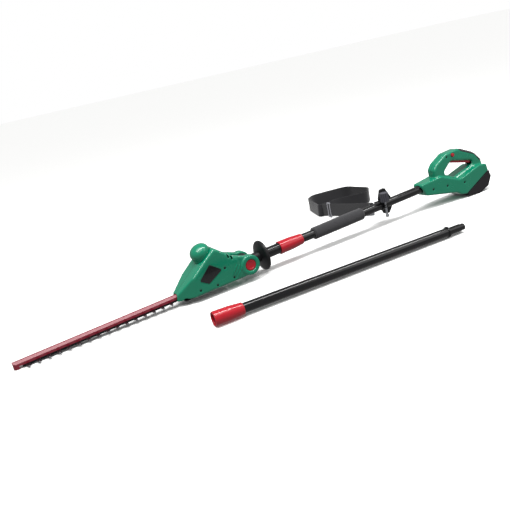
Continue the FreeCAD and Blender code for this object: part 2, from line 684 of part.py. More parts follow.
def base_cover():
    """Flat cover that closes the gearbox from below."""
    return block(-391.5, -262.5, -25.5, 25.5, HEAD_BOTTOM_Z - 2.0, HEAD_BOTTOM_Z + 0.0)


def screws_along_y(places, y_head, head_r, head_high, shank_r, shank):
    """A set of screws whose heads face -Y."""
    made = []
    for x, z in places:
        head = rod_y(head_r, y_head, y_head + head_high, x, z)
        drive = block(x - head_r * 0.7, x + head_r * 0.7, y_head, y_head + 0.8, z - 0.5, z + 0.5)
        body = rod_y(shank_r, y_head + head_high, y_head + head_high + shank, x, z)
        made.append(head.cut(drive).fuse(body))
    return group(made)


def head_screws():
    """Case screws of the head."""
    return screws_along_y(HEAD_SCREWS, -HEAD_HALF + 0.2, 3.0, 1.4, 1.6, 10.0)


# ---- blade ----------------------------------------------------------------------
def bolt_places():
    """X of the bolts that hold the blades to the bar."""
    first = BLADE_TIP_X + 50.0
    last = -432.0
    return [first + i * (last - first) / (BOLT_COUNT - 1) for i in range(BOLT_COUNT)]


def blade_bar():
    """Red stiffening bar with a ridge and a rounded tip that covers the blades' ends."""
    section = [(-BAR_HALF, BAR_BOTTOM_Z), (-BAR_HALF, BAR_BOTTOM_Z + 6.5), (-BAR_RIDGE_HALF, BAR_TOP_Z),
               (BAR_RIDGE_HALF, BAR_TOP_Z), (BAR_HALF, BAR_BOTTOM_Z + 6.5), (BAR_HALF, BAR_BOTTOM_Z)]
    wire = Part.makePolygon([Vector(BLADE_TIP_X, y, z) for y, z in section + section[:1]])
    bar = Part.Face(wire).extrude(Vector(BAR_END_X - BLADE_TIP_X, 0, 0))
    tip = block(BLADE_TIP_X, BLADE_TIP_X + TIP_BLOCK_LENGTH, -BAR_HALF, BAR_HALF, TIP_BLOCK_Z, BAR_BOTTOM_Z)
    plan = plan_prism([(BLADE_TIP_X, -BAR_HALF, BAR_HALF * 0.95), (BAR_END_X, -BAR_HALF), (BAR_END_X, BAR_HALF),
                       (BLADE_TIP_X, BAR_HALF, BAR_HALF * 0.95)], TIP_BLOCK_Z - 1, BAR_TOP_Z + 1)
    bores = [rod_z(BOLT_R + GLUE_FIT, TIP_BLOCK_Z, BAR_TOP_Z - 4.0, x) for x in bolt_places()]
    return join([bar, tip]).common(plan).cut(bores)


def blade(z0):
    """One toothed blade with guide slots and a yoke for its crank pin."""
    front = BLADE_TIP_X + TIP_BLOCK_LENGTH + CRANK_THROW + GAP
    back = CRANK_X + YOKE_HALF + 4.0
    spine = block(front, back, -BLADE_SPINE_HALF, BLADE_SPINE_HALF, z0, z0 + BLADE_THICK)
    yoke = block(CRANK_X - YOKE_HALF - 4.0, back, -16.0, 16.0, z0, z0 + BLADE_THICK)
    pieces = [spine, yoke]
    for i in range(TOOTH_COUNT):
        x = TOOTH_FIRST_X + i * TOOTH_PITCH
        for side in (-1, 1):
            pieces.append(plan_prism([
                (x - TOOTH_ROOT / 2, side * (BLADE_SPINE_HALF - 1)), (x - TOOTH_END / 2, side * TOOTH_REACH),
                (x + TOOTH_END / 2, side * TOOTH_REACH), (x + TOOTH_ROOT / 2, side * (BLADE_SPINE_HALF - 1))],
                z0, z0 + BLADE_THICK))
    body = join(pieces)
    cuts = [block(CRANK_X - YOKE_HALF, CRANK_X + YOKE_HALF, -12.5, 12.5, z0 - 1, z0 + 3)]
    reach = CRANK_THROW + GAP
    for x in bolt_places():
        half = BOLT_R + RUN_FIT
        slot = join([block(x - reach, x + reach, -half, half, z0 - 1, z0 + 3),
                     rod_z(half, z0 - 1, z0 + 3, x - reach), rod_z(half, z0 - 1, z0 + 3, x + reach)])
        cuts.append(slot)
    return body.cut(cuts)


def blade_bolts():
    """Bolts from below through both blades into the bar."""
    made = []
    for x in bolt_places():
        head = rod_z(4.5, LOWER_BLADE_Z - BLADE_GAP - 1.2, LOWER_BLADE_Z - BLADE_GAP, x)
        shank = rod_z(BOLT_R, LOWER_BLADE_Z - BLADE_GAP, BAR_TOP_Z - 4.5, x)
        made.append(head.fuse(shank))
    return group(made)


# ---- rear housing ---------------------------------------------------------------
LOOP_OUTLINE = [(494.0, -30.0, 6.0), (489.0, 44.0, 12.0), (503.0, 60.0, 12.0), (545.0, 81.0, 20.0),
                (594.0, 83.0, 30.0), (663.0, 52.0, 50.0), (690.0, 22.0, 14.0), (693.0, -14.0, 2.0),
                (600.0, -56.0, 2.0)]
LOOP_OPENING = [(525.0, 23.0, 8.0), (563.0, 53.0, 12.0), (652.0, 29.0, 9.0), (649.0, 16.0, 7.0),
                (572.0, -3.0, 14.0)]
BODY_OUTLINE = [(443.0, -22.0, 7.0), (425.0, 16.5, 7.0), (506.0, 21.0, 16.0), (571.0, -8.0, 20.0),
                (655.0, 12.0, 20.0), (688.0, 8.0, 7.0), (694.0, -15.5, 1.5), (592.0, -62.5, 1.5),
                (571.0, -58.0, 8.0), (556.0, -47.0, 8.0)]
SOFT_STRIP = [(606.0, 73.0), (661.0, 47.0), (683.0, 20.0), (705.0, 14.0), (705.0, 95.0), (598.0, 95.0)]
BODY_STATIONS = ((422.0, BODY_NOSE_HALF), (520.0, BODY_WAIST_HALF), (590.0, BODY_HALF), (697.0, BODY_HALF))
SCREW_SINK = 0.4         # how far the rounded plan lies inside its corners, at the screws
REAR_SCREWS_BODY = ((588.0, -23.0), (524.0, -15.0), (470.0, -10.0))
REAR_SCREW_LOOP = (546.0, 70.0)


def body_plan(inset):
    """Plan outline of the lower body: slim nose, full width over the battery."""
    (nose_x, nose), (waist_x, waist), (full_x, full), (end_x, _) = BODY_STATIONS
    return [(nose_x + inset, inset - nose, 6.0), (waist_x, inset - waist, 60.0), (full_x, inset - full, 40.0),
            (end_x - inset, inset - full, 6.0), (end_x - inset, full - inset, 6.0), (full_x, full - inset, 40.0),
            (waist_x, waist - inset, 60.0), (nose_x + inset, nose - inset, 6.0)]


def body_half_at(x):
    """Half width of the lower body at a station, between the plan's corners."""
    for (x0, half0), (x1, half1) in zip(BODY_STATIONS, BODY_STATIONS[1:]):
        if x <= x1:
            return half0 + (half1 - half0) * (x - x0) / (x1 - x0)
    return BODY_HALF


def loop_solid():
    """Handle loop with rounded edges."""
    outer = side_face(LOOP_OUTLINE)
    opening = side_face(LOOP_OPENING)
    face = outer.cut(opening).Faces[0]
    face.translate(Vector(0, -HANDLE_HALF, 0))
    solid = face.extrude(Vector(0, 2 * HANDLE_HALF, 0))
    rims = [e for e in solid.Edges if all(abs(abs(v.Y) - HANDLE_HALF) < 1e-6 for v in e.Vertexes)
            and abs(e.BoundBox.YLength) < 1e-6]
    return solid.makeFillet(6.0, rims)


def body_solid(inset):
    """Lower body, or the same body drawn inwards by a wall."""
    face = side_face(BODY_OUTLINE)
    if inset:
        face = Part.Face(face.OuterWire.makeOffset2D(-inset))
    solid = face.extrude(Vector(0, 2 * BODY_HALF, 0))
    solid.translate(Vector(0, -BODY_HALF, 0))
    return solid.common(plan_prism(body_plan(inset), -120.0, 120.0))


def loop_cavity():
    """Room inside the handle for trigger, switch and leads."""
    outer = Part.Face(side_face(LOOP_OUTLINE).OuterWire.makeOffset2D(-WALL))
    opening = Part.Face(side_face(LOOP_OPENING).OuterWire.makeOffset2D(WALL))
    half = HANDLE_HALF - WALL - 0.6
    face = outer.cut(opening).Faces[0]
    face.translate(Vector(0, -half, 0))
    solid = face.extrude(Vector(0, 2 * half, 0))
    guard = side_prism([(x - 4.0, z - 3.5) for x, z in SOFT_STRIP[:3]] + [(705.0, 8.0), (705.0, 95.0), (594.0, 95.0)],
                       -HANDLE_HALF, HANDLE_HALF)
    return solid.cut(guard)


def rear_shells():
    """Both half shells of the rear housing."""
    solid = join([body_solid(0.0), loop_solid()])
    solid = solid.makeFillet(REAR_ROUND, solid.Edges)
    cuts = [body_solid(WALL), loop_cavity(), rod_x(POLE_R + GLUE_FIT, BODY_STATIONS[0][0], POLE_END_X + 1),
            soft_strip_blank(), trigger_slot(), shoe_room(),
            rod_y(LOCK_OFF_R + GAP, -HANDLE_HALF - 1, 0, *LOCK_OFF_AT)]
    for x, z, half in rear_screw_list():
        cuts.append(rod_y(3.6, -half - 1.0, -half + 1.6, x, z))
        cuts.append(rod_y(2.0, -half, -half + WALL + 2.0, x, z))
    return halves(solid.cut(cuts))


def rear_screw_list():
    """Screws with the half-width of the housing where each one sits."""
    listed = [(x, z, body_half_at(x) - SCREW_SINK) for x, z in REAR_SCREWS_BODY]
    return listed + [(REAR_SCREW_LOOP[0], REAR_SCREW_LOOP[1], HANDLE_HALF)]


def rear_screws():
    """Case screws of the rear housing."""
    made = []
    for x, z, half in rear_screw_list():
        made += screws_along_y([(x, z)], -half + 0.2, 3.2, 1.4, 1.8, 10.0).Solids
    return group(made)


def soft_strip_blank():
    """Room of the soft strip on the back of the handle."""
    return side_prism(SOFT_STRIP, -HANDLE_HALF, HANDLE_HALF)


def handle_soft_grip():
    """Soft strip moulded on the back of the handle."""
    return loop_solid().common(soft_strip_blank())


def trigger_slot():
    """Opening in the handle's underside through which the trigger reaches."""
    half = TRIGGER_HALF + GAP
    return side_prism([(558.0, 40.0), (655.0, 16.0), (668.0, 34.0), (660.0, 46.0), (560.0, 66.0)], -half, half)


def trigger():
    """Long trigger under the handle bar."""
    profile = [(561.0, 49.0, 2.0), (567.0, 45.5, 3.0), (644.0, 23.5, 4.0), (656.0, 34.0, 3.0),
               (658.5, 41.0, 3.0), (650.0, 44.0, 3.0), (562.0, 57.0, 2.0)]
    body = side_prism(profile, -TRIGGER_HALF, TRIGGER_HALF)
    return body.cut(rod_y(TRIGGER_PIN_R + RUN_FIT, -TRIGGER_HALF - 1, TRIGGER_HALF + 1, *TRIGGER_PIVOT))


def trigger_pin():
    """Pin that the trigger turns on."""
    return rod_y(TRIGGER_PIN_R, -HANDLE_HALF + WALL + 1.0, HANDLE_HALF - WALL - 1.0, *TRIGGER_PIVOT)


def trigger_spring():
    """Spring that pushes the trigger down."""
    return coil_spring(Vector(622.0, 0, 49.0), AXIS_Z, 3.0, 0.5, 7.0, 4)


def trigger_switch():
    """Switch above the trigger's free end."""
    return block(576.0, 600.0, -5.0, 5.0, 64.5, 74.0)


def lock_off_button():
    """Small thumb button that frees the trigger."""
    x, z = LOCK_OFF_AT
    button = rod_y(LOCK_OFF_R, -HANDLE_HALF - LOCK_OFF_TRAVEL, -HANDLE_HALF + 5.0, x, z)
    rim = [e for e in button.Edges if isinstance(e.Curve, Part.Circle)
           and e.Curve.Center.y < -HANDLE_HALF - 2.0]
    return button.makeFillet(1.0, rim)


def shoe_room():
    """Opening in the housing's floor that the battery shoe closes."""
    return battery_place(block(14.0, 106.0, -30.0, 30.0, -4.0, 6.0))


def battery_shoe():
    """Plate with two hooked rails that the battery slides on."""
    plate = block(14.0 + GAP, 106.0 - GAP, -29.6, 29.6, 0.0, 3.0)
    rails = []
    for side in (-1, 1):
        y0, y1 = sorted((side * 22.0, side * 24.5))
        rails.append(block(30.0, 104.0, y0, y1, -3.6, 0.0))
        y0, y1 = sorted((side * 22.0, side * 27.0))
        rails.append(block(30.0, 104.0, y0, y1, -3.6, -2.2))
    return battery_place(join([plate] + rails))


def terminal_block():
    """Contact block on the shoe that the battery's contacts meet."""
    body = block(34.0, 52.0, -14.0, 14.0, 3.1, 12.0)
    return battery_place(body)


def control_board():
    """Circuit board behind the terminal block."""
    return battery_place(block(58.0, 98.0, -22.0, 22.0, 6.0, 7.6))


def battery_outline(inset):
    """Side outline of the battery in its own axes, z below its top face."""
    return [(2.0 + inset * 2.5, -5.4, 0.0), (BATTERY_LENGTH - inset, -5.4, 0.0),
            (BATTERY_LENGTH - inset, -22.0 - inset * 0.5, 6.0), (86.0 - inset, -41.5 + inset, 8.0),
            (40.0 - inset * 0.2, -36.0 + inset, 8.0), (0.6 + inset * 2.5, -7.6, 0.0)]


def battery_case():
    """Battery's lower shell, flat where it stands on the floor."""
    outside = side_prism(battery_outline(0.0), -BATTERY_HALF, BATTERY_HALF)
    rims = [e for e in outside.Edges if e.BoundBox.YLength < 1e-6 and e.BoundBox.ZMax < -5.5]
    outside = outside.makeFillet(4.0, rims)
    inside = side_prism(battery_outline(2.4), -BATTERY_HALF + 2.4, BATTERY_HALF - 2.4)
    inside = inside.fuse(block(34.0, BATTERY_LENGTH - 2.4, -BATTERY_HALF + 2.4, BATTERY_HALF - 2.4, -14.0, -5.0))
    latch_way = block(BATTERY_LENGTH - 6, BATTERY_LENGTH + 3, -12.3, 12.3, -17.3, -8.7)
    placed = place(battery_place(outside.cut([inside, latch_way])))
    return placed.common(block(-300, 300, -BATTERY_HALF, BATTERY_HALF, 0, 300))


def battery_lid():
    """Battery's top with the channels for the shoe's rails."""
    lid = block(4.0, BATTERY_LENGTH, -BATTERY_HALF, BATTERY_HALF, -5.2, -GAP)
    cuts = []
    for side in (-1, 1):
        y0, y1 = sorted((side * (22.0 - GAP), side * (24.5 + GAP)))
        cuts.append(block(0.0, 104.0 + GAP, y0, y1, -4.0, 0.0))
        y0, y1 = sorted((side * (22.0 - GAP), side * (27.0 + GAP)))
        cuts.append(block(0.0, 104.0 + GAP, y0, y1, -4.0, -2.2 + GAP))
    return battery_place(lid.cut(cuts))


def battery_cells():
    """Round cells lying across the battery."""
    made = []
    for i in range(CELL_COUNT):
        s = 43.0 + i * CELL_PITCH
        made.append(rod_y(CELL_R, -CELL_LENGTH / 2, CELL_LENGTH / 2, s, -6.0 - CELL_R - 0.4))
    return battery_place(group(made))


def battery_latch():
    """Push button on the battery's back end."""
    return battery_place(block(BATTERY_LENGTH - LATCH_TRAVEL - 0.3, BATTERY_LENGTH + LATCH_TRAVEL + 0.2,
                               -12.0, 12.0, -17.0, -9.0))


# ---- clamp and strap ------------------------------------------------------------
def clamp_band():
    """Steel band round the pole with an ear on the near side for its bolt."""
    x0 = CLAMP_X - CLAMP_WIDTH / 2
    x1 = CLAMP_X + CLAMP_WIDTH / 2
    outer = POLE_R + GAP + BAND_THICK
    ring = rod_x(outer, x0, x1).cut(rod_x(POLE_R + 0.3, x0, x1))
    ears = [block(x0, x1, -outer - 9.0, -POLE_R - 0.5, z, z + BAND_THICK) for z in (-3.8, 2.2)]
    opening = block(x0 - 1, x1 + 1, -outer - 10.0, -POLE_R + 3.0, -2.2, 2.2)
    tail = block(x0, x1, POLE_R - 1.0, outer + 2.4, -9.0, 9.0).cut(rod_x(POLE_R + 0.3, x0, x1))
    body = join([ring] + ears + [tail]).cut(opening)
    bore = rod_z(3.0 + RUN_FIT, -10, 10, CLAMP_X, bolt_y())
    return body.cut(bore)


def bolt_y():
    """Y of the clamp bolt, just clear of the pole."""
    return -POLE_R - GAP - BAND_THICK - 4.2


def clamp_bolt():
    """Bolt that closes the band, round nut below."""
    shank = rod_z(3.0, -26.0, 15.0, CLAMP_X, bolt_y())
    nut = rod_z(5.2, -34.0, -26.0, CLAMP_X, bolt_y())
    rims = [e for e in nut.Edges if isinstance(e.Curve, Part.Circle)]
    return join([shank, nut.makeFillet(1.5, rims)])


def clamp_knob():
    """Fluted knob on the clamp bolt."""
    low = 14.5
    core = rod_z(KNOB_R - 2.5, low, low + KNOB_HEIGHT, CLAMP_X, bolt_y())
    ribs = []
    for i in range(KNOB_RIBS):
        angle = 2 * math.pi * i / KNOB_RIBS
        ribs.append(rod_z(2.2, low, low + KNOB_HEIGHT, CLAMP_X + (KNOB_R - 2.2) * math.cos(angle),
                          bolt_y() + (KNOB_R - 2.2) * math.sin(angle)))
    knob = join([core] + ribs)
    return knob.cut(rod_z(3.0 + GLUE_FIT, low - 1, low + 1.0, CLAMP_X, bolt_y()))


def strap_plate():
    """Dark hip plate behind the pole with its eyelet."""
    y0 = POLE_R + GAP + BAND_THICK + 3.0
    outline = [(294.0, -10.0, 3.0), (291.0, 14.0, 4.0), (301.0, 40.0, 4.0), (318.0, 41.0, 4.0),
               (336.0, 6.0, 5.0), (341.0, -14.0, 4.0), (321.0, -39.0, 5.0), (303.0, -36.0, 4.0)]
    plate = side_prism(outline, y0, y0 + 8.0)
    hinge_x, hinge_y = hinge_place()
    foot = block(hinge_x, 297.0, y0, y0 + 4.0, -HINGE_HALF, HINGE_HALF)
    lugs = upright(rod_z(HINGE_EYE_R, -HINGE_HALF, HINGE_HALF, hinge_x, hinge_y))
    room = upright(rod_z(HINGE_EYE_R + GAP, -HINGE_EYE_HALF - GAP, HINGE_EYE_HALF + GAP, hinge_x, hinge_y))
    pin = upright(rod_z(HINGE_PIN_R, -HINGE_HALF, HINGE_HALF, hinge_x, hinge_y))
    body = join([plate, foot, lugs]).cut(room)
    return join([body, pin]).cut(rod_y(5.0, y0 - 1, y0 + 9.0, 313.0, -24.0))


def hinge_place():
    """X and Y of the strap's hinge pin, beside the clamp."""
    return CLAMP_X - 6.0, POLE_R + GAP + BAND_THICK + 3.0 + HINGE_EYE_R


def upright(shape):
    """Turn a shape at the hinge so that it stands upright on the floor once it is placed."""
    moved = shape.copy()
    moved.rotate(Vector(hinge_place()[0], 0, 0), AXIS_Y, REST_PITCH)
    return moved


def strap_hook():
    """Metal link with an eye round the hip plate's hinge pin; the webbing ends on its tail."""
    hinge_x, hinge_y = hinge_place()
    eye = rod_z(HINGE_EYE_R, -HINGE_EYE_HALF, HINGE_EYE_HALF, hinge_x, hinge_y)
    arm = block(hinge_x - 12.0, hinge_x, hinge_y, hinge_y + 3.0, -HINGE_EYE_HALF, HINGE_EYE_HALF)
    tail = block(hinge_x - 22.0, hinge_x - 8.0, hinge_y, hinge_y + 3.0, -28.0, HINGE_HALF)
    bore = rod_z(HINGE_PIN_R + RUN_FIT, -HINGE_HALF, HINGE_HALF, hinge_x, hinge_y)
    return upright(join([eye, arm, tail]).cut(bore))


def strap_webbing():
    """Webbing on edge: a loop on the floor and a run that climbs to the hook."""
    points = [(x - FOOT_X, y, r) for x, y, r in LOOP_ROUTE]
    outer = plan_face(points)
    inner = Part.Face(outer.OuterWire.makeOffset2D(-STRAP_THICK))
    loop = outer.cut(inner).extrude(Vector(0, 0, STRAP_WIDTH))
    start, end = riser_ends()
    way = Vector(end.x - start.x, end.y - start.y, 0)
    side = Vector(way.y, -way.x, 0).normalize() * STRAP_THICK
    up = Vector(0, 0, STRAP_WIDTH)
    sheet = Part.Face(Part.makePolygon([start, end, end + up, start + up, start]))
    return join([loop, sheet.extrude(side)])


def riser_ends():
    """Floor end and hook end of the webbing's climbing run, in resting axes."""
    start = Vector(LOOP_ROUTE[0][0] + 16.0 - FOOT_X, LOOP_ROUTE[0][1] + 1.0, 0)
    hinge_x, hinge_y = hinge_place()
    end = Vector(hinge_x - 10.0 - FOOT_X, hinge_y + 3.0 + STRAP_THICK + 0.1, RISER_HEIGHT)
    return start, end


def strap_slider():
    """Rectangular slider buckle round the webbing, near the loop."""
    start, end = riser_ends()
    heading = math.degrees(math.atan2(end.y - start.y, end.x - start.x))
    slope = math.degrees(math.atan2(end.z, math.hypot(end.x - start.x, end.y - start.y)))
    play = STRAP_THICK / 2 + 0.5
    outer = block(-8.0, 8.0, -play - 1.6, play + 1.6, -0.8 - SLIDER_BAR, STRAP_WIDTH + 0.8 + SLIDER_BAR)
    inner = block(-9.0, 9.0, -play, play, -0.8, STRAP_WIDTH + 0.8)
    frame = outer.cut(inner)
    frame.translate(Vector(0, -STRAP_THICK / 2, 0))
    frame.rotate(ORIGIN, AXIS_Y, -slope)
    frame.rotate(ORIGIN, AXIS_Z, heading)
    frame.translate(start + (end - start) * SLIDER_SHARE)
    return frame


# ---- extension pole ---------------------------------------------------------------
def extension_tube():
    """Tube of the extension between its collar and its ring."""
    start = COLLAR_RECESS + COLLAR_FLANGE + GAP + SOCKET_LENGTH
    end = EXTENSION_LENGTH - SPIGOT_LENGTH - RING_WIDTH
    return rod_x(POLE_R, start, end).cut(rod_x(POLE_R - POLE_WALL, start, end))


def extension_parts():
    """The extension's pieces, before they are put on the floor."""
    mouth = COLLAR_RECESS + COLLAR_FLANGE + GAP
    ring_face = EXTENSION_LENGTH - SPIGOT_LENGTH
    return {
        "extension_collar": coupling_collar(0.0),
        "extension_socket": coupling_socket(mouth),
        "extension_contacts": coupling_contacts(mouth),
        "extension_tube": extension_tube(),
        "extension_spigot": coupling_spigot(ring_face, PLUG_LENGTH),
        "extension_plug": spigot_plug(ring_face),
    }


def machine_parts():
    """The machine's pieces in its level axes."""
    rear_left, rear_right = rear_shells()
    head_left, head_right = head_shells()
    return {
        "rear_housing_left": rear_left,
        "rear_housing_right": rear_right,
        "handle_soft_grip": handle_soft_grip(),
        "rear_screws": rear_screws(),
        "trigger": trigger(),
        "trigger_pin": trigger_pin(),
        "trigger_spring": trigger_spring(),
        "trigger_switch": trigger_switch(),
        "lock_off_button": lock_off_button(),
        "battery_shoe": battery_shoe(),
        "terminal_block": terminal_block(),
        "control_board": control_board(),
        "battery_lid": battery_lid(),
        "battery_cells": battery_cells(),
        "battery_latch": battery_latch(),
        "main_pole": main_pole(),
        "pole_socket": coupling_socket(SOCKET_MOUTH_X),
        "pole_contacts": coupling_contacts(SOCKET_MOUTH_X),
        "pole_cable": pole_cable(),
        "foam_grip": foam_grip(),
        "front_collar": coupling_collar(COLLAR_FRONT_X),
        "front_tube": front_tube(),
        "front_spigot": front_spigot(),
        "front_plug": spigot_plug(RING_FACE_X),
        "guard_disc": guard_disc(),
        "knuckle": knuckle(),
        "pivot_pin": pivot_pin(),
        "lock_button": lock_button(),
        "lock_spring": lock_spring(),
        "pivot_cap": pivot_cap(),
        "head_housing_left": head_left,
        "head_housing_right": head_right,
        "head_screws": head_screws(),
        "side_plate": side_plate(),
        "motor_cap": motor_cap(),
        "motor": motor(),
        "pinion": pinion(),
        "drive_gear": drive_gear(),
        "crank_shaft": crank_shaft(),
        "crank_bearing": crank_bearing(),
        "gearbox_plate": gearbox_plate(),
        "base_cover": base_cover(),
        "blade_bar": blade_bar(),
        "upper_blade": blade(UPPER_BLADE_Z),
        "lower_blade": blade(LOWER_BLADE_Z),
        "blade_bolts": blade_bolts(),
        "clamp_band": clamp_band(),
        "clamp_bolt": clamp_bolt(),
        "clamp_knob": clamp_knob(),
        "strap_plate": strap_plate(),
        "strap_hook": strap_hook(),
    }


def main():
    """Build and write every sub-part."""
    os.makedirs("parts", exist_ok=True)
    placed = {name: place(shape) for name, shape in machine_parts().items()}
    placed["battery_case"] = battery_case()
    placed["strap_webbing"] = strap_webbing()
    placed["strap_slider"] = strap_slider()
    for name, shape in extension_parts().items():
        placed[name] = extension_place(shape)
    for name, shape in placed.items():
        shape.exportStep("parts/" + name + ".step")


main()
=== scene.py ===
"""Looks of a cordless pole hedge trimmer with its extension pole and shoulder strap.

The file is laid out as a Blender add-on.  Property groups hold the sizes and
colours that a user would change, each operator makes one group of pieces on the
CAD frame, and main() runs them in order.  Pieces are drawn in millimetres in the
machine's own axes (X along the pole to the handle, Y away from the near side, Z
up) or, for the strap, in floor axes, and are then put in place in metres.
"""
import json
import math

import bmesh
import bpy
from bpy.props import FloatProperty, FloatVectorProperty, IntProperty, PointerProperty
from mathutils import Matrix, Vector


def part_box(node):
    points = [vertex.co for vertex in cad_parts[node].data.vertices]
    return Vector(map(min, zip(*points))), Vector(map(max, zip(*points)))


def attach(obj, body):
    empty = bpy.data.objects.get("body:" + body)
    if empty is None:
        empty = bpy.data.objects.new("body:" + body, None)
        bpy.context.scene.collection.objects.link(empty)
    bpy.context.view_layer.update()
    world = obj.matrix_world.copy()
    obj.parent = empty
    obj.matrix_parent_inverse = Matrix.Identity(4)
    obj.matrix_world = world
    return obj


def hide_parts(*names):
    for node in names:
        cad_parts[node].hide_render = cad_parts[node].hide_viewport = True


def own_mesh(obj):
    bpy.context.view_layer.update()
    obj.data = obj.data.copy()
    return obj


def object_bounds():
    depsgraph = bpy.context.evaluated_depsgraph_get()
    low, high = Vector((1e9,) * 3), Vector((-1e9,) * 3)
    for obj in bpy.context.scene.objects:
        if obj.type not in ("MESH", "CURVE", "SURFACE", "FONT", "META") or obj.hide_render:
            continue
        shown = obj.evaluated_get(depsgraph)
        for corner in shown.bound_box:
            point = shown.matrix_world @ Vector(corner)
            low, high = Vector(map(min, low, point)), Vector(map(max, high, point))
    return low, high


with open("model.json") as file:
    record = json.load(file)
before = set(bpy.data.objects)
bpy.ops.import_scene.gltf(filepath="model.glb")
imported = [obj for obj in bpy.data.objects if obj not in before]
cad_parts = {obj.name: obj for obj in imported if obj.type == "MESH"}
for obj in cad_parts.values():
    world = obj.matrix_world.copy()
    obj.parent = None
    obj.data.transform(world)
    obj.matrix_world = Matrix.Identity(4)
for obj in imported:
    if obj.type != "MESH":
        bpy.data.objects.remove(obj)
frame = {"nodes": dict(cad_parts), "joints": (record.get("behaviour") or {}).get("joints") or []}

bl_info = {
    "name": "Pole hedge trimmer looks",
    "version": (1, 0, 0),
    "blender": (4, 5, 0),
    "location": "3D View > Sidebar > Trimmer",
    "description": "Finishes and fine pieces of a cordless pole hedge trimmer on its CAD frame",
    "category": "Object",
}

CAD_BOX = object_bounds()
JOINTS = {joint["name"]: joint for joint in frame["joints"]}
NODES = frame["nodes"]

# The pole's axis, and the matrix from the machine's axes in millimetres to metres.
COLLAR_FACE_MM = -86.0          # station of the front collar's face
POLE_WAY = Vector(JOINTS["front_collar_turn"]["axis"]).normalized()
ACROSS = Vector((0.0, 1.0, 0.0))
POLE_UP = POLE_WAY.cross(ACROSS)
MACHINE_START = Vector(JOINTS["front_collar_turn"]["pos_m"]) - POLE_WAY * COLLAR_FACE_MM * 0.001
MACHINE = Matrix.Translation(MACHINE_START) @ Matrix((POLE_WAY, ACROSS, POLE_UP)).transposed().to_4x4() \
    @ Matrix.Scale(0.001, 4)
FLOOR_START_MM = 641.0          # station of the battery's foot, where the floor axes start
FLOOR = Matrix.Scale(0.001, 4) @ Matrix.Translation(Vector((-FLOOR_START_MM, 0.0, 0.0)))

# Stations and sizes in the machine's axes, millimetres.
HEAD_HALF = 38.0                # half width of the head
PIVOT_X = -196.0                # tilt pivot
NECK = Vector((-160.6, 0.0, 8.0))   # the point that the camera looks at
MOTOR_X, MOTOR_Z, MOTOR_LEAN = -297.5, 40.0, -22.0
BLADE_THICK = 2.0
UPPER_BLADE_Z = -22.35          # underside of each blade
LOWER_BLADE_Z = -24.7
SPINE_TIP_X, SPINE_HALF = -801.1, 9.5
FIRST_TOOTH_X = -789.0
BOLT_STATIONS = [-772.0 + 85.0 * i for i in range(5)]
BOLT_SLOT_HALF, BOLT_SLOT_REACH = 2.56, 10.4
CRANK_X = -336.0
SHELL_LAP = 0.0002              # how far each half shell reaches over the seam, metres
SEAM_HALF = 0.00045             # half width of the drawn parting line, metres


def hex_colour(text):
    """Linear colour from an sRGB hex value."""
    channels = [int(text[i:i + 2], 16) / 255 for i in (1, 3, 5)]
    return tuple(c / 12.92 if c <= 0.04045 else ((c + 0.055) / 1.055) ** 2.4 for c in channels)


# ---- properties -------------------------------------------------------------------
def paint(name, description, value):
    """A colour property."""
    return FloatVectorProperty(name=name, description=description, default=hex_colour(value),
                               subtype="COLOR", size=3, min=0.0, max=1.0)


def span(name, description, value):
    """A length property in metres."""
    return FloatProperty(name=name, description=description, default=value, min=0.0, unit="LENGTH",
                         precision=5)


class TrimmerColours(bpy.types.PropertyGroup):
    shell: paint("Housing", "Moulded housings of the head and the rear handle", "#00795A")
    red: paint("Red plastic", "Collars, tilt button and trigger", "#A80A1E")
    bar: paint("Blade bar", "Painted bar over the blades", "#7C1228")
    pole: paint("Pole", "Painted steel tubes", "#08080A")
    black: paint("Black plastic", "Guard disc, joint and hip plate", "#121214")
    battery: paint("Battery", "Battery case and latch", "#1E1B1E")
    rubber: paint("Soft grip", "Rubber strip on the handle", "#19181B")
    foam: paint("Foam", "Foam sleeve for the front hand", "#1D1C20")
    webbing: paint("Webbing", "Woven shoulder strap", "#121116")
    buckle: paint("Buckle", "Strap slider", "#9C9CA2")
    steel: paint("Steel", "Bolts, pins, springs and the strap's hook", "#A9ABB0")
    blade: paint("Blade coating", "Dark coating of the blades", "#121214")
    floor: paint("Floor", "Plain floor", "#FAFAF9")


class TrimmerSizes(bpy.types.PropertyGroup):
    skin_cell: span("Skin cell", "Size of the cells that the housings' skins are made of", 0.0014)
    skin_passes: IntProperty(name="Skin rounding", description="How softly the skins' edges are rounded",
                             default=24, min=0)
    tooth_bevel: span("Tooth bevel", "Width of the ground edge of a tooth", 0.0014)
    tooth_pitch: span("Tooth pitch", "Distance from tooth to tooth", 0.0242)
    tooth_count: IntProperty(name="Teeth", description="Teeth on one side of a blade", default=16, min=2)
    foam_bulge: span("Foam bulge", "How much the foam sleeve swells in its middle", 0.0005)
    webbing_thickness: span("Webbing thickness", "Thickness of the woven strap", 0.0018)
    webbing_sway: span("Webbing sway", "How far the strap's upper edge leans from side to side", 0.0035)
    stitch_pitch: span("Stitch pitch", "Distance from stitch to stitch", 0.0042)
    rib_height: span("Rib height", "Height of the moulded ribs", 0.0012)
    screw_radius: span("Screw head radius", "Radius of the case screws' heads", 0.0030)


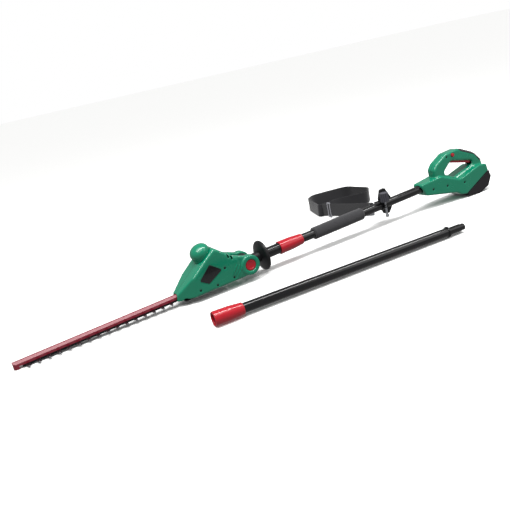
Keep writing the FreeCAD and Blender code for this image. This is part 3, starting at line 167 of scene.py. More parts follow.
class TrimmerStage(bpy.types.PropertyGroup):
    azimuth: FloatProperty(name="Azimuth", description="Camera's angle round the machine",
                           default=math.radians(-24.77), subtype="ANGLE")
    elevation: FloatProperty(name="Elevation", description="Camera's angle above the floor",
                             default=math.radians(17.55), subtype="ANGLE")
    roll: FloatProperty(name="Roll", description="Camera's turn about its own line of sight",
                        default=math.radians(-12.59), subtype="ANGLE")
    distance: span("Distance", "From the camera to the neck of the machine", 1.649)
    lens: FloatProperty(name="Lens", description="Focal length on a 36 mm wide sensor", default=43.0,
                        subtype="DISTANCE_CAMERA")
    key_power: FloatProperty(name="Key light", description="Power of the large soft light", default=46.0,
                             min=0.0, unit="POWER")
    fill_power: FloatProperty(name="Fill light", description="Power of the light from the right",
                              default=5.0, min=0.0, unit="POWER")
    day_power: FloatProperty(name="Day light", description="Strength of the broad light from above",
                             default=2.2, min=0.0)
    day_spread: FloatProperty(name="Day spread", description="How wide the broad light is",
                              default=math.radians(60.0), subtype="ANGLE")
    room_light: FloatProperty(name="Room light", description="Brightness of the pale room", default=0.38,
                              min=0.0, subtype="FACTOR")


# ---- node and mesh helpers ----------------------------------------------------------
def add(tree, kind, settings, inputs):
    """Adds a node, sets its settings, and fills or links its inputs."""
    node = tree.nodes.new(kind)
    for name, value in settings.items():
        setattr(node, name, value)
    for name, value in inputs.items():
        if isinstance(value, bpy.types.NodeSocket):
            tree.links.new(value, node.inputs[name])
        else:
            node.inputs[name].default_value = value
    return node


def new_finish(name, colour, roughness, sockets=None):
    """A material with one shader, its constants set on the shader itself."""
    material = bpy.data.materials.new(name)
    material.use_nodes = True
    tree = material.node_tree
    tree.nodes.clear()
    values = {"Base Color": (*colour, 1.0), "Roughness": roughness}
    values.update(sockets or {})
    shader = add(tree, "ShaderNodeBsdfPrincipled", {}, values)
    add(tree, "ShaderNodeOutputMaterial", {}, {"Surface": shader.outputs["BSDF"]})
    where = add(tree, "ShaderNodeTexCoord", {}, {}).outputs["Object"]
    return material, tree, shader, where


def shade(colour, factor):
    """A colour made darker or lighter, with its alpha."""
    return tuple(min(1.0, channel * factor) for channel in colour) + (1.0,)


def mottled(tree, shader, colour, amount, low, high, where, scale):
    """Colour and roughness that drift over the surface; returns the drifting colour."""
    noise = add(tree, "ShaderNodeTexNoise", {}, {"Vector": where, "Scale": scale, "Detail": 3.0,
                                                  "Roughness": 0.55}).outputs["Fac"]
    mix = add(tree, "ShaderNodeMix", {"data_type": "RGBA"},
              {0: noise, 6: shade(colour, 1.0 - amount), 7: shade(colour, 1.0 + amount)}).outputs[2]
    tree.links.new(mix, shader.inputs["Base Color"])
    rough = add(tree, "ShaderNodeMapRange", {}, {"Value": noise, "From Min": 0.3, "From Max": 0.7,
                                                  "To Min": low, "To Max": high}).outputs["Result"]
    tree.links.new(rough, shader.inputs["Roughness"])
    return mix


# ---- finishes -------------------------------------------------------------------------
def glossy_abs(name, colour, seam):
    """Glossy ABS, injection moulded: a clear deep colour with sharp highlights.

    Polished moulds leave a faint orange peel of about 1 mm, drawn at 5 mm so that it
    shows; where two halves meet, a dark parting line 0.3 mm wide is drawn at 0.9 mm.
    """
    material, tree, shader, where = new_finish(
        name, colour, 0.2, {"IOR": 1.5, "Coat Weight": 0.35, "Coat Roughness": 0.06})
    tint = mottled(tree, shader, colour, 0.07, 0.18, 0.30, where, 42.0)
    if seam:
        side = add(tree, "ShaderNodeSeparateXYZ", {}, {"Vector": where}).outputs["Y"]
        off = add(tree, "ShaderNodeMath", {"operation": "ABSOLUTE"}, {0: side}).outputs[0]
        line = add(tree, "ShaderNodeMath", {"operation": "LESS_THAN"}, {0: off, 1: SEAM_HALF}).outputs[0]
        seamed = add(tree, "ShaderNodeMix", {"data_type": "RGBA"},
                     {0: line, 6: tint, 7: shade(colour, 0.25)}).outputs[2]
        tree.links.new(seamed, shader.inputs["Base Color"])
    peel = add(tree, "ShaderNodeTexNoise", {}, {
        "Vector": where, "Scale": 200.0, "Detail": 1.0}).outputs["Fac"]
    bump = add(tree, "ShaderNodeBump", {}, {"Height": peel, "Strength": 0.10, "Distance": 0.0006})
    tree.links.new(bump.outputs["Normal"], shader.inputs["Normal"])
    return material


def satin_plastic(name, colour, low, high, grain):
    """Glass-filled nylon or ABS from a spark-eroded mould: dull sheen with a fine even grain.

    The real grain is about 0.1 mm and is drawn at about 2 mm so that it shows.
    """
    material, tree, shader, where = new_finish(name, colour, low, {"IOR": 1.38})
    mottled(tree, shader, colour, 0.12, low, high, where, 60.0)
    pits = add(tree, "ShaderNodeTexVoronoi", {"feature": "F1"}, {
        "Vector": where, "Scale": grain}).outputs["Distance"]
    bump = add(tree, "ShaderNodeBump", {}, {"Height": pits, "Strength": 0.22, "Distance": 0.0003})
    tree.links.new(bump.outputs["Normal"], shader.inputs["Normal"])
    return material


def pole_paint(name, colour):
    """Powder-coated steel tube, near gloss: almost black with one long bright line along it.

    Handling leaves dull streaks some 5 mm wide and 60 mm long.
    """
    material, tree, shader, where = new_finish(
        name, colour, 0.2, {"IOR": 1.42, "Coat Weight": 0.35, "Coat Roughness": 0.04})
    drawn = add(tree, "ShaderNodeMapping", {}, {
        "Vector": where, "Scale": (16.0, 200.0, 200.0)}).outputs["Vector"]
    mottled(tree, shader, colour, 0.25, 0.08, 0.2, drawn, 1.0)
    peel = add(tree, "ShaderNodeTexNoise", {}, {
        "Vector": where, "Scale": 350.0, "Detail": 1.0}).outputs["Fac"]
    bump = add(tree, "ShaderNodeBump", {}, {"Height": peel, "Strength": 0.05, "Distance": 0.0004})
    tree.links.new(bump.outputs["Normal"], shader.inputs["Normal"])
    return material


def bar_paint(name, colour):
    """Enamelled steel bar: dark red, glossy, with fine lengthwise rub marks 1 mm wide, drawn at 2 mm."""
    material, tree, shader, where = new_finish(name, colour, 0.3, {"IOR": 1.5, "Coat Weight": 0.4,
                                                                    "Coat Roughness": 0.1})
    drawn = add(tree, "ShaderNodeMapping", {}, {
        "Vector": where, "Scale": (20.0, 500.0, 500.0)}).outputs["Vector"]
    mottled(tree, shader, colour, 0.2, 0.22, 0.42, drawn, 1.0)
    return material


def metal(name, colour, low, high, stretch):
    """Steel or brass, brushed or ground: grey shine drawn out along the working direction.

    Brush lines are about 0.2 mm apart and are drawn at about 1.5 mm so that they show.
    """
    material, tree, shader, where = new_finish(name, colour, low, {"Metallic": 1.0})
    drawn = add(tree, "ShaderNodeMapping", {}, {"Vector": where, "Scale": stretch}).outputs["Vector"]
    mottled(tree, shader, colour, 0.12, low, high, drawn, 1.0)
    return material


def blade_coating(name, colour):
    """Blued and resin-coated blade steel: nearly black, half dull, with long rolling marks 2 mm wide."""
    material, tree, shader, where = new_finish(name, colour, 0.4, {"Metallic": 0.6})
    drawn = add(tree, "ShaderNodeMapping", {}, {
        "Vector": where, "Scale": (30.0, 450.0, 450.0)}).outputs["Vector"]
    mottled(tree, shader, colour, 0.3, 0.32, 0.5, drawn, 1.0)
    return material


def closed_cell_foam(name, colour):
    """Closed-cell foam, skinned: matt dark grey with small pores.

    Pores are about 0.5 mm and are drawn at about 3 mm so that they show.
    """
    material, tree, shader, where = new_finish(name, colour, 0.85, {"IOR": 1.4, "Sheen Weight": 0.25,
                                                                     "Sheen Roughness": 0.6})
    mottled(tree, shader, colour, 0.16, 0.78, 0.92, where, 120.0)
    pores = add(tree, "ShaderNodeTexVoronoi", {"feature": "F1"}, {
        "Vector": where, "Scale": 340.0}).outputs["Distance"]
    bump = add(tree, "ShaderNodeBump", {}, {"Height": pores, "Strength": 0.5, "Distance": 0.0008})
    tree.links.new(bump.outputs["Normal"], shader.inputs["Normal"])
    return material


def soft_rubber(name, colour):
    """Thermoplastic rubber moulded over the handle: dark, dull, slightly dusty."""
    material, tree, shader, where = new_finish(name, colour, 0.6, {"IOR": 1.45, "Sheen Weight": 0.15,
                                                                    "Sheen Roughness": 0.5})
    mottled(tree, shader, colour, 0.15, 0.52, 0.7, where, 80.0)
    grain = add(tree, "ShaderNodeTexNoise", {}, {
        "Vector": where, "Scale": 500.0, "Detail": 2.0}).outputs["Fac"]
    bump = add(tree, "ShaderNodeBump", {}, {"Height": grain, "Strength": 0.25, "Distance": 0.0004})
    tree.links.new(bump.outputs["Normal"], shader.inputs["Normal"])
    return material


def woven_webbing(name, colour):
    """Woven polypropylene webbing: close ribs across a dark band with thicker edges.

    The weave's ribs are 1.2 mm apart and are drawn 4.5 mm apart along the band and
    3.6 mm across it, so that the weave shows; the colour is painted darker in the ribs'
    hollows and lighter on their crests, as painted shade and highlight.  U runs along
    the band and V across it, in metres.
    """
    material, tree, shader, _ = new_finish(name, colour, 0.8, {"IOR": 1.5, "Sheen Weight": 0.35,
                                                                "Sheen Roughness": 0.45})
    rib_pitch, pick_pitch = 0.0045, 0.0036
    flat = add(tree, "ShaderNodeUVMap", {"uv_map": "weave"}, {}).outputs["UV"]
    axes = add(tree, "ShaderNodeSeparateXYZ", {}, {"Vector": flat}).outputs
    along = add(tree, "ShaderNodeMath", {"operation": "MULTIPLY"},
                {0: axes["X"], 1: 2 * math.pi / rib_pitch}).outputs[0]
    across = add(tree, "ShaderNodeMath", {"operation": "MULTIPLY"},
                 {0: axes["Y"], 1: 2 * math.pi / pick_pitch}).outputs[0]
    ribs = add(tree, "ShaderNodeMath", {"operation": "SINE"}, {0: along}).outputs[0]
    picks = add(tree, "ShaderNodeMath", {"operation": "SINE"}, {0: across}).outputs[0]
    weave = add(tree, "ShaderNodeMath", {"operation": "MULTIPLY"}, {0: ribs, 1: picks}).outputs[0]
    raise_by = add(tree, "ShaderNodeMapRange", {}, {
        "Value": weave, "From Min": -1.0, "From Max": 1.0}).outputs["Result"]
    noise = add(tree, "ShaderNodeTexNoise", {}, {"Vector": flat, "Scale": 30.0, "Detail": 3.0}).outputs["Fac"]
    # Painted shade and highlight: the threads' colour is darker where the weave sinks and lighter where it
    # rises.
    thread = add(tree, "ShaderNodeMix", {"data_type": "RGBA"},
                 {0: raise_by, 6: shade(colour, 0.55), 7: shade(colour, 1.5)}).outputs[2]
    wear = add(tree, "ShaderNodeMix", {"data_type": "RGBA"},
               {0: noise, 6: (0.6, 0.6, 0.6, 1.0), 7: (1.0, 1.0, 1.0, 1.0)}).outputs[2]
    # Random wear multiplied over the weave's painted shade and highlight.
    wear_and_weave_shade = add(tree, "ShaderNodeMix", {"data_type": "RGBA", "blend_type": "MULTIPLY"},
               {0: 0.35, 6: thread, 7: wear}).outputs[2]
    tree.links.new(wear_and_weave_shade, shader.inputs["Base Color"])
    bump = add(tree, "ShaderNodeBump", {}, {"Height": raise_by, "Strength": 0.55, "Distance": 0.0007})
    tree.links.new(bump.outputs["Normal"], shader.inputs["Normal"])
    return material


def printed_board(name):
    """Fibreglass board with green mask: dark green, shiny, with faint copper tracks 2 mm apart."""
    colour = hex_colour("#12452B")
    material, tree, shader, where = new_finish(name, colour, 0.35, {"IOR": 1.5})
    tracks = add(tree, "ShaderNodeTexBrick", {}, {"Vector": where, "Scale": 160.0, "Mortar Size": 0.012,
                                                   "Color1": shade(colour, 1.0), "Color2": shade(colour, 1.2),
                                                   "Mortar": (*hex_colour("#4C6B2E"), 1.0)}).outputs["Color"]
    tree.links.new(tracks, shader.inputs["Base Color"])
    return material


def make_finishes(colours):
    """Every finish by its short name."""
    return {
        "green_abs": glossy_abs("green_glossy_abs", colours.shell, True),
        "red_abs": glossy_abs("red_glossy_abs", colours.red, False),
        "black_abs": glossy_abs("black_glossy_abs", colours.black, False),
        "black_nylon": satin_plastic("black_spark_eroded_nylon", colours.black, 0.32, 0.46, 480.0),
        "battery_abs": satin_plastic("grey_textured_abs", colours.battery, 0.48, 0.62, 420.0),
        "knob_nylon": satin_plastic("dark_grey_nylon", hex_colour("#45454B"), 0.34, 0.46, 480.0),
        "buckle_acetal": satin_plastic("light_grey_acetal", colours.buckle, 0.3, 0.42, 600.0),
        "grip_rubber": soft_rubber("black_overmoulded_rubber", colours.rubber),
        "tube_paint": pole_paint("black_powder_coat", colours.pole),
        "bar_enamel": bar_paint("red_enamel", colours.bar),
        "blade_steel": blade_coating("coated_blade_steel", colours.blade),
        "ground_steel": metal("ground_blade_edge", hex_colour("#8E9095"), 0.25, 0.4, (60.0, 700.0, 700.0)),
        "brushed_steel": metal("brushed_steel", colours.steel, 0.25, 0.4, (120.0, 700.0, 700.0)),
        # Screw heads coloured near-black: painted shade of the deep pockets they sit in.
        "pocket_shade_screw_steel": metal("screw_steel_in_painted_pocket_shade", hex_colour("#2C2D30"), 0.4, 0.55,
                             (300.0, 300.0, 300.0)),
        "cast_zinc": metal("cast_zinc", hex_colour("#7C7E82"), 0.45, 0.6, (250.0, 250.0, 250.0)),
        "brass": metal("rolled_brass", hex_colour("#C7A25A"), 0.25, 0.4, (120.0, 700.0, 700.0)),
        "foam": closed_cell_foam("closed_cell_foam", colours.foam),
        "webbing": woven_webbing("woven_polypropylene", colours.webbing),
        "thread": soft_rubber("grey_polyester_thread", hex_colour("#6A686E")),
        "cell_sleeve": satin_plastic("blue_cell_sleeve", hex_colour("#2B5C8C"), 0.3, 0.4, 500.0),
        "board": printed_board("printed_circuit_board"),
    }


FINISHES = {}

# Finish of each CAD node that is shown.
NODE_FINISH = {
    "green_abs": ["rear_housing_left", "rear_housing_right", "head_housing_left", "head_housing_right",
                  "motor_cap"],
    "red_abs": ["trigger", "lock_off_button", "front_collar", "extension_collar"],
    "black_nylon": ["guard_disc", "knuckle", "strap_plate", "pole_socket", "extension_socket", "base_cover",
                    "trigger_switch", "front_plug", "extension_plug", "terminal_block", "battery_shoe",
                    "pole_cable", "clamp_band"],
    "black_abs": ["side_plate"],
    "knob_nylon": ["clamp_knob"],
    "battery_abs": ["battery_case", "battery_lid", "battery_latch"],
    "grip_rubber": ["handle_soft_grip"],
    "tube_paint": ["main_pole", "front_tube", "front_spigot", "extension_tube", "extension_spigot"],
    "bar_enamel": ["blade_bar"],
    "brushed_steel": ["pivot_pin", "lock_spring", "trigger_pin", "trigger_spring", "crank_shaft",
                      "crank_bearing", "drive_gear", "pinion", "motor", "blade_bolts", "clamp_bolt",
                      "strap_hook"],
    "cast_zinc": ["gearbox_plate"],
    "brass": ["pole_contacts", "extension_contacts"],
    "cell_sleeve": ["battery_cells"],
    "board": ["control_board"],
}


# ---- meshes -----------------------------------------------------------------------------
def ring(bm, points):
    """A loop of new vertices."""
    return [bm.verts.new(p) for p in points]


def bridge(bm, first, second):
    """Faces between two loops of the same count."""
    count = len(first)
    for i in range(count):
        j = (i + 1) % count
        bm.faces.new((first[i], first[j], second[j], second[i]))


def lathe(bm, profile, segments):
    """A closed shape turned about X from (x, radius) points; a radius of 0 is a pole."""
    loops = []
    for x, radius in profile:
        if radius <= 0.0:
            loops.append([bm.verts.new((x, 0.0, 0.0))])
        else:
            loops.append(ring(bm, [(x, radius * math.cos(2 * math.pi * i / segments),
                                    radius * math.sin(2 * math.pi * i / segments)) for i in range(segments)]))
    for a, b in zip(loops, loops[1:] + ([loops[0]] if len(loops[0]) > 1 and len(loops[-1]) > 1 else [])):
        if len(a) == 1 and len(b) == 1:
            continue
        if len(a) == 1 or len(b) == 1:
            tip, loop = (a[0], b) if len(a) == 1 else (b[0], a)
            for i in range(segments):
                bm.faces.new((tip, loop[i], loop[(i + 1) % segments]))
        else:
            bridge(bm, a, b)


def soft_block(bm, low, high, bevel, segments):
    """A block between two corners with rounded edges."""
    made = bmesh.ops.create_cube(bm, size=1.0)
    low, high = Vector(low), Vector(high)
    for vert in made["verts"]:
        vert.co = Vector([(low[i] + high[i]) / 2 + vert.co[i] * (high[i] - low[i]) for i in range(3)])
    edges = list({edge for vert in made["verts"] for edge in vert.link_edges})
    bmesh.ops.bevel(bm, geom=edges, offset=bevel, segments=segments, affect="EDGES", profile=0.5)


def cell_plate(bm, xs, ys, holes, z0, z1):
    """A flat plate made of cells between the given stations, with some cells left out."""
    wide, deep = len(xs) - 1, len(ys) - 1
    low = [[bm.verts.new((x, y, z0)) for y in ys] for x in xs]
    high = [[bm.verts.new((x, y, z1)) for y in ys] for x in xs]
    solid = {(i, j) for i in range(wide) for j in range(deep)} - set(holes)
    for i, j in solid:
        corners = ((i, j), (i + 1, j), (i + 1, j + 1), (i, j + 1))
        bm.faces.new([high[a][b] for a, b in corners])
        bm.faces.new([low[a][b] for a, b in reversed(corners)])
        for k, step in enumerate(((0, -1), (1, 0), (0, 1), (-1, 0))):
            if (i + step[0], j + step[1]) not in solid:
                (a, b), (c, d) = corners[k], corners[(k + 1) % 4]
                bm.faces.new((low[a][b], low[c][d], high[c][d], high[a][b]))
    loose = [v for v in bm.verts if not v.link_faces]
    bmesh.ops.delete(bm, geom=loose, context="VERTS")


def mesh_from(name, draw, smooth=35.0):
    """A mesh from a function that draws into a bmesh, closed, merged and facing outwards."""
    bm = bmesh.new()
    draw(bm)
    bmesh.ops.remove_doubles(bm, verts=bm.verts, dist=1e-4)
    bmesh.ops.recalc_face_normals(bm, faces=bm.faces)
    mesh = bpy.data.meshes.new(name)
    bm.to_mesh(mesh)
    bm.free()
    soften(mesh, smooth)
    return mesh


def soften(mesh, angle):
    """Smooth shading with crisp edges above an angle in degrees."""
    mesh.shade_smooth()
    mesh.set_sharp_from_angle(angle=math.radians(angle))


def linked(name, data):
    """A new object in the scene."""
    made = bpy.data.objects.new(name, data)
    bpy.context.scene.collection.objects.link(made)
    return made


def baked(carrier, name):
    """The carrier's mesh as its modifiers leave it."""
    graph = bpy.context.evaluated_depsgraph_get()
    graph.update()
    made = bpy.data.meshes.new_from_object(carrier.evaluated_get(graph), depsgraph=graph)
    made.name = name
    return made


def put(name, mesh, matrix, finish, body, stands_for=()):
    """A finished piece: its place is in its mesh, and it rides on a body."""
    mesh.transform(matrix)
    if finish is not None:
        mesh.materials.clear()
        mesh.materials.append(FINISHES[finish])
    piece = linked(name, mesh)
    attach(piece, body)
    if stands_for:
        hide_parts(*stands_for)
    return piece


# ---- geometry node trees ------------------------------------------------------------------
def new_tree(name, sockets):
    """A geometry node tree with named inputs; returns it and the inputs' sockets."""
    tree = bpy.data.node_groups.new(name, "GeometryNodeTree")
    tree.interface.new_socket("Geometry", in_out="INPUT", socket_type="NodeSocketGeometry")
    for label, kind in sockets:
        tree.interface.new_socket(label, in_out="INPUT", socket_type=kind)
    tree.interface.new_socket("Geometry", in_out="OUTPUT", socket_type="NodeSocketGeometry")
    return tree, tree.nodes.new("NodeGroupInput").outputs


def close_tree(tree, geometry, finish):
    """Realize Instances, Set Material and the output."""
    real = add(tree, "GeometryNodeRealizeInstances", {}, {"Geometry": geometry}).outputs["Geometry"]
    painted = add(tree, "GeometryNodeSetMaterial", {}, {
        "Geometry": real, "Material": finish}).outputs["Geometry"]
    add(tree, "NodeGroupOutput", {}, {"Geometry": painted})


def copies_at_points_tree():
    """Copies of an item at the carrier's points, turned as the points' attribute says."""
    tree, given = new_tree("copies_at_points", [("Item", "NodeSocketObject"), ("Size", "NodeSocketFloat"),
                                                ("Finish", "NodeSocketMaterial")])
    item = add(tree, "GeometryNodeObjectInfo", {}, {"Object": given["Item"]}).outputs["Geometry"]
    turn = add(tree, "GeometryNodeInputNamedAttribute", {"data_type": "FLOAT_VECTOR"}, {"Name": "turn"})
    turned = add(tree, "FunctionNodeEulerToRotation", {}, {0: turn.outputs["Attribute"]}).outputs[0]
    placed = add(tree, "GeometryNodeInstanceOnPoints", {}, {
        "Points": given["Geometry"], "Instance": item, "Rotation": turned, "Scale": given["Size"]})
    close_tree(tree, placed.outputs["Instances"], given["Finish"])
    return tree


def row_tree():
    """A straight row of an item."""
    tree, given = new_tree("row_of_copies", [
        ("Item", "NodeSocketObject"), ("Count", "NodeSocketInt"), ("Start", "NodeSocketVector"),
        ("Step", "NodeSocketVector"), ("Turn", "NodeSocketVector"), ("Finish", "NodeSocketMaterial")])
    item = add(tree, "GeometryNodeObjectInfo", {}, {"Object": given["Item"]}).outputs["Geometry"]
    line = add(tree, "GeometryNodeMeshLine", {"mode": "OFFSET"}, {
        "Count": given["Count"], "Start Location": given["Start"], "Offset": given["Step"]}).outputs["Mesh"]
    turned = add(tree, "FunctionNodeEulerToRotation", {}, {0: given["Turn"]}).outputs[0]
    placed = add(tree, "GeometryNodeInstanceOnPoints", {}, {
        "Points": line, "Instance": item, "Rotation": turned})
    close_tree(tree, placed.outputs["Instances"], given["Finish"])
    return tree


def toothed_blade_tree():
    """A blade: its spine with a row of teeth on each side, their ground edges in bright steel."""
    tree, given = new_tree("toothed_blade", [
        ("Tooth", "NodeSocketObject"), ("Count", "NodeSocketInt"), ("First", "NodeSocketVector"),
        ("Pitch", "NodeSocketVector"), ("Coating", "NodeSocketMaterial"), ("Edge", "NodeSocketMaterial")])
    tooth = add(tree, "GeometryNodeObjectInfo", {}, {"Object": given["Tooth"]}).outputs["Geometry"]
    line = add(tree, "GeometryNodeMeshLine", {"mode": "OFFSET"}, {
        "Count": given["Count"], "Start Location": given["First"], "Offset": given["Pitch"]}).outputs["Mesh"]
    sides = []
    for half_turns in (0.0, math.pi):
        placed = add(tree, "GeometryNodeInstanceOnPoints", {}, {
            "Points": line, "Instance": tooth, "Rotation": (0.0, 0.0, half_turns)})
        sides.append(placed.outputs["Instances"])
    whole = add(tree, "GeometryNodeJoinGeometry", {}, {"Geometry": given["Geometry"]})
    for side in sides:
        tree.links.new(side, whole.inputs["Geometry"])
    real = add(tree, "GeometryNodeRealizeInstances", {}, {
        "Geometry": whole.outputs["Geometry"]}).outputs["Geometry"]
    coated = add(tree, "GeometryNodeSetMaterial", {}, {
        "Geometry": real, "Material": given["Coating"]}).outputs["Geometry"]
    ground = add(tree, "GeometryNodeInputNamedAttribute", {"data_type": "BOOLEAN"}, {"Name": "ground"})
    edged = add(tree, "GeometryNodeSetMaterial", {}, {
        "Geometry": coated, "Selection": ground.outputs["Attribute"],
        "Material": given["Edge"]}).outputs["Geometry"]
    add(tree, "NodeGroupOutput", {}, {"Geometry": edged})
    return tree


def stitch_tree():
    """Stitches at even steps along the carrier's line, each lying along it."""
    tree, given = new_tree("stitched_line", [("Stitch", "NodeSocketObject"), ("Pitch", "NodeSocketFloat"),
                                             ("Finish", "NodeSocketMaterial")])
    stitch = add(tree, "GeometryNodeObjectInfo", {}, {"Object": given["Stitch"]}).outputs["Geometry"]
    line = add(tree, "GeometryNodeMeshToCurve", {}, {"Mesh": given["Geometry"]}).outputs["Curve"]
    steps = add(tree, "GeometryNodeResampleCurve", {"mode": "LENGTH"}, {
        "Curve": line, "Length": given["Pitch"]})
    heading = add(tree, "GeometryNodeInputTangent", {}, {}).outputs["Tangent"]
    turned = add(tree, "FunctionNodeAlignRotationToVector", {"axis": "X"}, {
        "Vector": heading}).outputs["Rotation"]
    placed = add(tree, "GeometryNodeInstanceOnPoints", {}, {
        "Points": steps.outputs["Curve"], "Instance": stitch, "Rotation": turned})
    close_tree(tree, placed.outputs["Instances"], given["Finish"])
    return tree


def grow(name, tree, carrier_mesh, values):
    """Runs a tree on a carrier and returns the result as a plain mesh; item objects are removed."""
    carrier = linked(name + "_carrier", carrier_mesh)
    modifier = carrier.modifiers.new("pattern", "NODES")
    modifier.node_group = tree
    known = {item.name: item.identifier for item in tree.interface.items_tree
             if item.item_type == "SOCKET" and item.in_out == "INPUT"}
    items = []
    for label, value in values.items():
        if isinstance(value, bpy.types.Mesh):
            value = linked(label, value)
            items.append(value)
        modifier[known[label]] = value
    made = baked(carrier, name)
    if not made.polygons:
        raise RuntimeError(name + " came out empty")
    carrier.modifiers.clear()
    for spent in items + [carrier]:
        bpy.data.objects.remove(spent)
    return made


def moulded_shell(name, nodes, cell, passes):
    """Two half shells as one skin with softly rounded edges; the halves overlap by a hair, so they join."""
    bm = bmesh.new()
    for node in nodes:
        first = len(bm.verts)
        bm.from_mesh(NODES[node].data)
        bm.verts.ensure_lookup_table()
        half = bm.verts[first:]
        lap = -SHELL_LAP if sum(vert.co.y for vert in half) > 0 else SHELL_LAP
        for vert in half:
            if abs(vert.co.y) < 1e-5:
                vert.co.y = lap
    mesh = bpy.data.meshes.new(name)
    bm.to_mesh(mesh)
    bm.free()
    carrier = linked(name + "_carrier", mesh)
    skin = carrier.modifiers.new("skin", "REMESH")
    skin.mode, skin.voxel_size = "VOXEL", cell
    ease = carrier.modifiers.new("ease", "SMOOTH")
    ease.factor, ease.iterations = 0.5, passes
    made = baked(carrier, name)
    bpy.data.objects.remove(carrier)
    soften(made, 70.0)
    return made


def points_mesh(name, places, turns):
    """A carrier of loose points with a turn each."""
    mesh = bpy.data.meshes.new(name)
    mesh.from_pydata([tuple(p) for p in places], [], [])
    turn = mesh.attributes.new("turn", "FLOAT_VECTOR", "POINT")
    for i, value in enumerate(turns):
        turn.data[i].vector = value
    return mesh


def islands(node):
    """(low, high) corners in metres of each separate solid of a CAD node."""
    bm = bmesh.new()
    bm.from_mesh(NODES[node].data)
    bmesh.ops.remove_doubles(bm, verts=bm.verts, dist=1e-6)
    left, boxes = set(bm.verts), []
    while left:
        stack, members = [left.pop()], []
        while stack:
            vert = stack.pop()
            members.append(vert.co.copy())
            for edge in vert.link_edges:
                other = edge.other_vert(vert)
                if other in left:
                    left.remove(other)
                    stack.append(other)
        boxes.append((Vector([min(co[i] for co in members) for i in range(3)]),
                      Vector([max(co[i] for co in members) for i in range(3)])))
    bm.free()
    return sorted(boxes, key=lambda box: tuple(box[0]))


# ---- items ----------------------------------------------------------------------------------
def screw_item(radius):
    """Pan-head screw with a six-lobed recess, its head at the origin facing -Y."""
    side = 24
    # Depth, radius and the lobes' swing of each loop, as shares of the head's radius.
    shape = ((0.42, 0.30, 0.06), (0.02, 0.40, 0.08), (0.0, 0.60, 0.0), (0.08, 0.86, 0.0),
             (0.24, 1.0, 0.0), (0.46, 1.0, 0.0), (0.46, 0.5, 0.0), (2.6, 0.5, 0.0))

    def lobed(bm, y, r, swing):
        """A loop whose radius swings six times on the way round."""
        points = []
        for i in range(side):
            a = 2 * math.pi * i / side
            reach = r + swing * math.cos(6 * a)
            points.append((reach * math.cos(a), y, reach * math.sin(a)))
        return ring(bm, points)

    def draw(bm):
        loops = [lobed(bm, *(radius * share for share in shares)) for shares in shape]
        for first, second in zip(loops, loops[1:]):
            bridge(bm, first, second)
        bm.faces.new(loops[0])
        bm.faces.new(loops[-1])
    return mesh_from("screw", draw, 30.0)


def tooth_item(bevel, flip):
    """One cutting tooth pointing to +Y from the spine, ground on both flanks."""
    low, high = (BLADE_THICK, 0.0) if flip else (0.0, BLADE_THICK)
    outline = [(-6.0, 8.5), (-2.5, 24.6), (-1.6, 26.0), (1.6, 26.0), (2.5, 24.6), (6.0, 8.5)]
    inner = [(-6.0 + bevel, 8.5), (-2.5 + bevel * 0.9, 24.0), (-1.2, 24.9), (1.2, 24.9),
             (2.5 - bevel * 0.9, 24.0), (6.0 - bevel, 8.5)]
    def draw(bm):
        flat = ring(bm, [(x, y, low) for x, y in outline])
        top = ring(bm, [(x, y, high) for x, y in inner])
        bm.faces.new(flat)
        bm.faces.new(top)
        bridge(bm, flat, top)
    mesh = mesh_from("tooth", draw, 20.0)
    ground = mesh.attributes.new("ground", "BOOLEAN", "FACE")
    for i, face in enumerate(mesh.polygons):
        ground.data[i].value = 0.05 < abs(face.normal.z) < 0.98
    return mesh


def bar_item(length, width, height, lift=0.0):
    """A moulded rib lying along X, rounded, its foot at the origin and its crest to -Y."""
    def draw(bm):
        soft_block(bm, (-length / 2, -height, -width / 2), (length / 2, lift, width / 2),
                   min(width, height) * 0.32, 2)
    return mesh_from("bar", draw, 40.0)


# ---- pieces ------------------------------------------------------------------------------------
class PaintFrame(bpy.types.Operator):
    """Makes every finish and gives each shown CAD node its own"""
    bl_idname = "trimmer.paint_frame"
    bl_label = "Finishes"

    def execute(self, context):
        FINISHES.update(make_finishes(context.scene.trimmer_colours))
        for finish, names in NODE_FINISH.items():
            for name in names:
                data = NODES[name].data
                data.materials.clear()
                data.materials.append(FINISHES[finish])
        return {"FINISHED"}


class MakeShells(bpy.types.Operator):
    """Makes the moulded skins of the head and the rear housing, and the domed motor cap"""
    bl_idname = "trimmer.make_shells"
    bl_label = "Moulded housings"

    def execute(self, context):
        sizes = context.scene.trimmer_sizes
        for name, nodes, body in (("head_shell", ["head_housing_left", "head_housing_right"], "head"),
                                  ("rear_shell", ["rear_housing_left", "rear_housing_right"], "rear_unit")):
            made = moulded_shell(name, nodes, sizes.skin_cell, sizes.skin_passes)
            put(name, made, Matrix.Identity(4), "green_abs", body, nodes)

        # Cap: a grooved skirt under half an ellipse, turned about the motor's axis.
        low, skirt, top, radius, wall = 61.0, 77.0, 97.0, 27.0, 2.4
        dome = [(low, radius - wall), (low, radius - 0.8), (low + 0.8, radius)]
        for start in (63.5, 67.5, 71.5):
            dome += [(start, radius), (start + 0.3, radius - 1.1), (start + 1.3, radius - 1.1),
                     (start + 1.6, radius)]
        dome.append((skirt, radius))
        for i in range(1, 12):
            turn = math.radians(90.0 * i / 12)
            dome.append((skirt + (top - skirt) * math.sin(turn), radius * math.cos(turn)))
        dome += [(top, 0.0), (top - 4.0, 0.0), (top - 8.0, radius * 0.55), (skirt, radius - wall)]
        lean = Matrix.Translation((MOTOR_X, 0.0, MOTOR_Z)) \
            @ Matrix.Rotation(math.radians(MOTOR_LEAN), 4, "Y") @ Matrix.Translation((0.0, 0.0, -MOTOR_Z))
        stand = Matrix.Rotation(math.radians(-90.0), 4, "Y")     # X of the lathe becomes Z
        put("motor_dome", mesh_from("motor_dome", lambda bm: lathe(bm, dome, 96), 40.0),
            MACHINE @ lean @ stand, "green_abs", "head", ["motor_cap"])
        return {"FINISHED"}


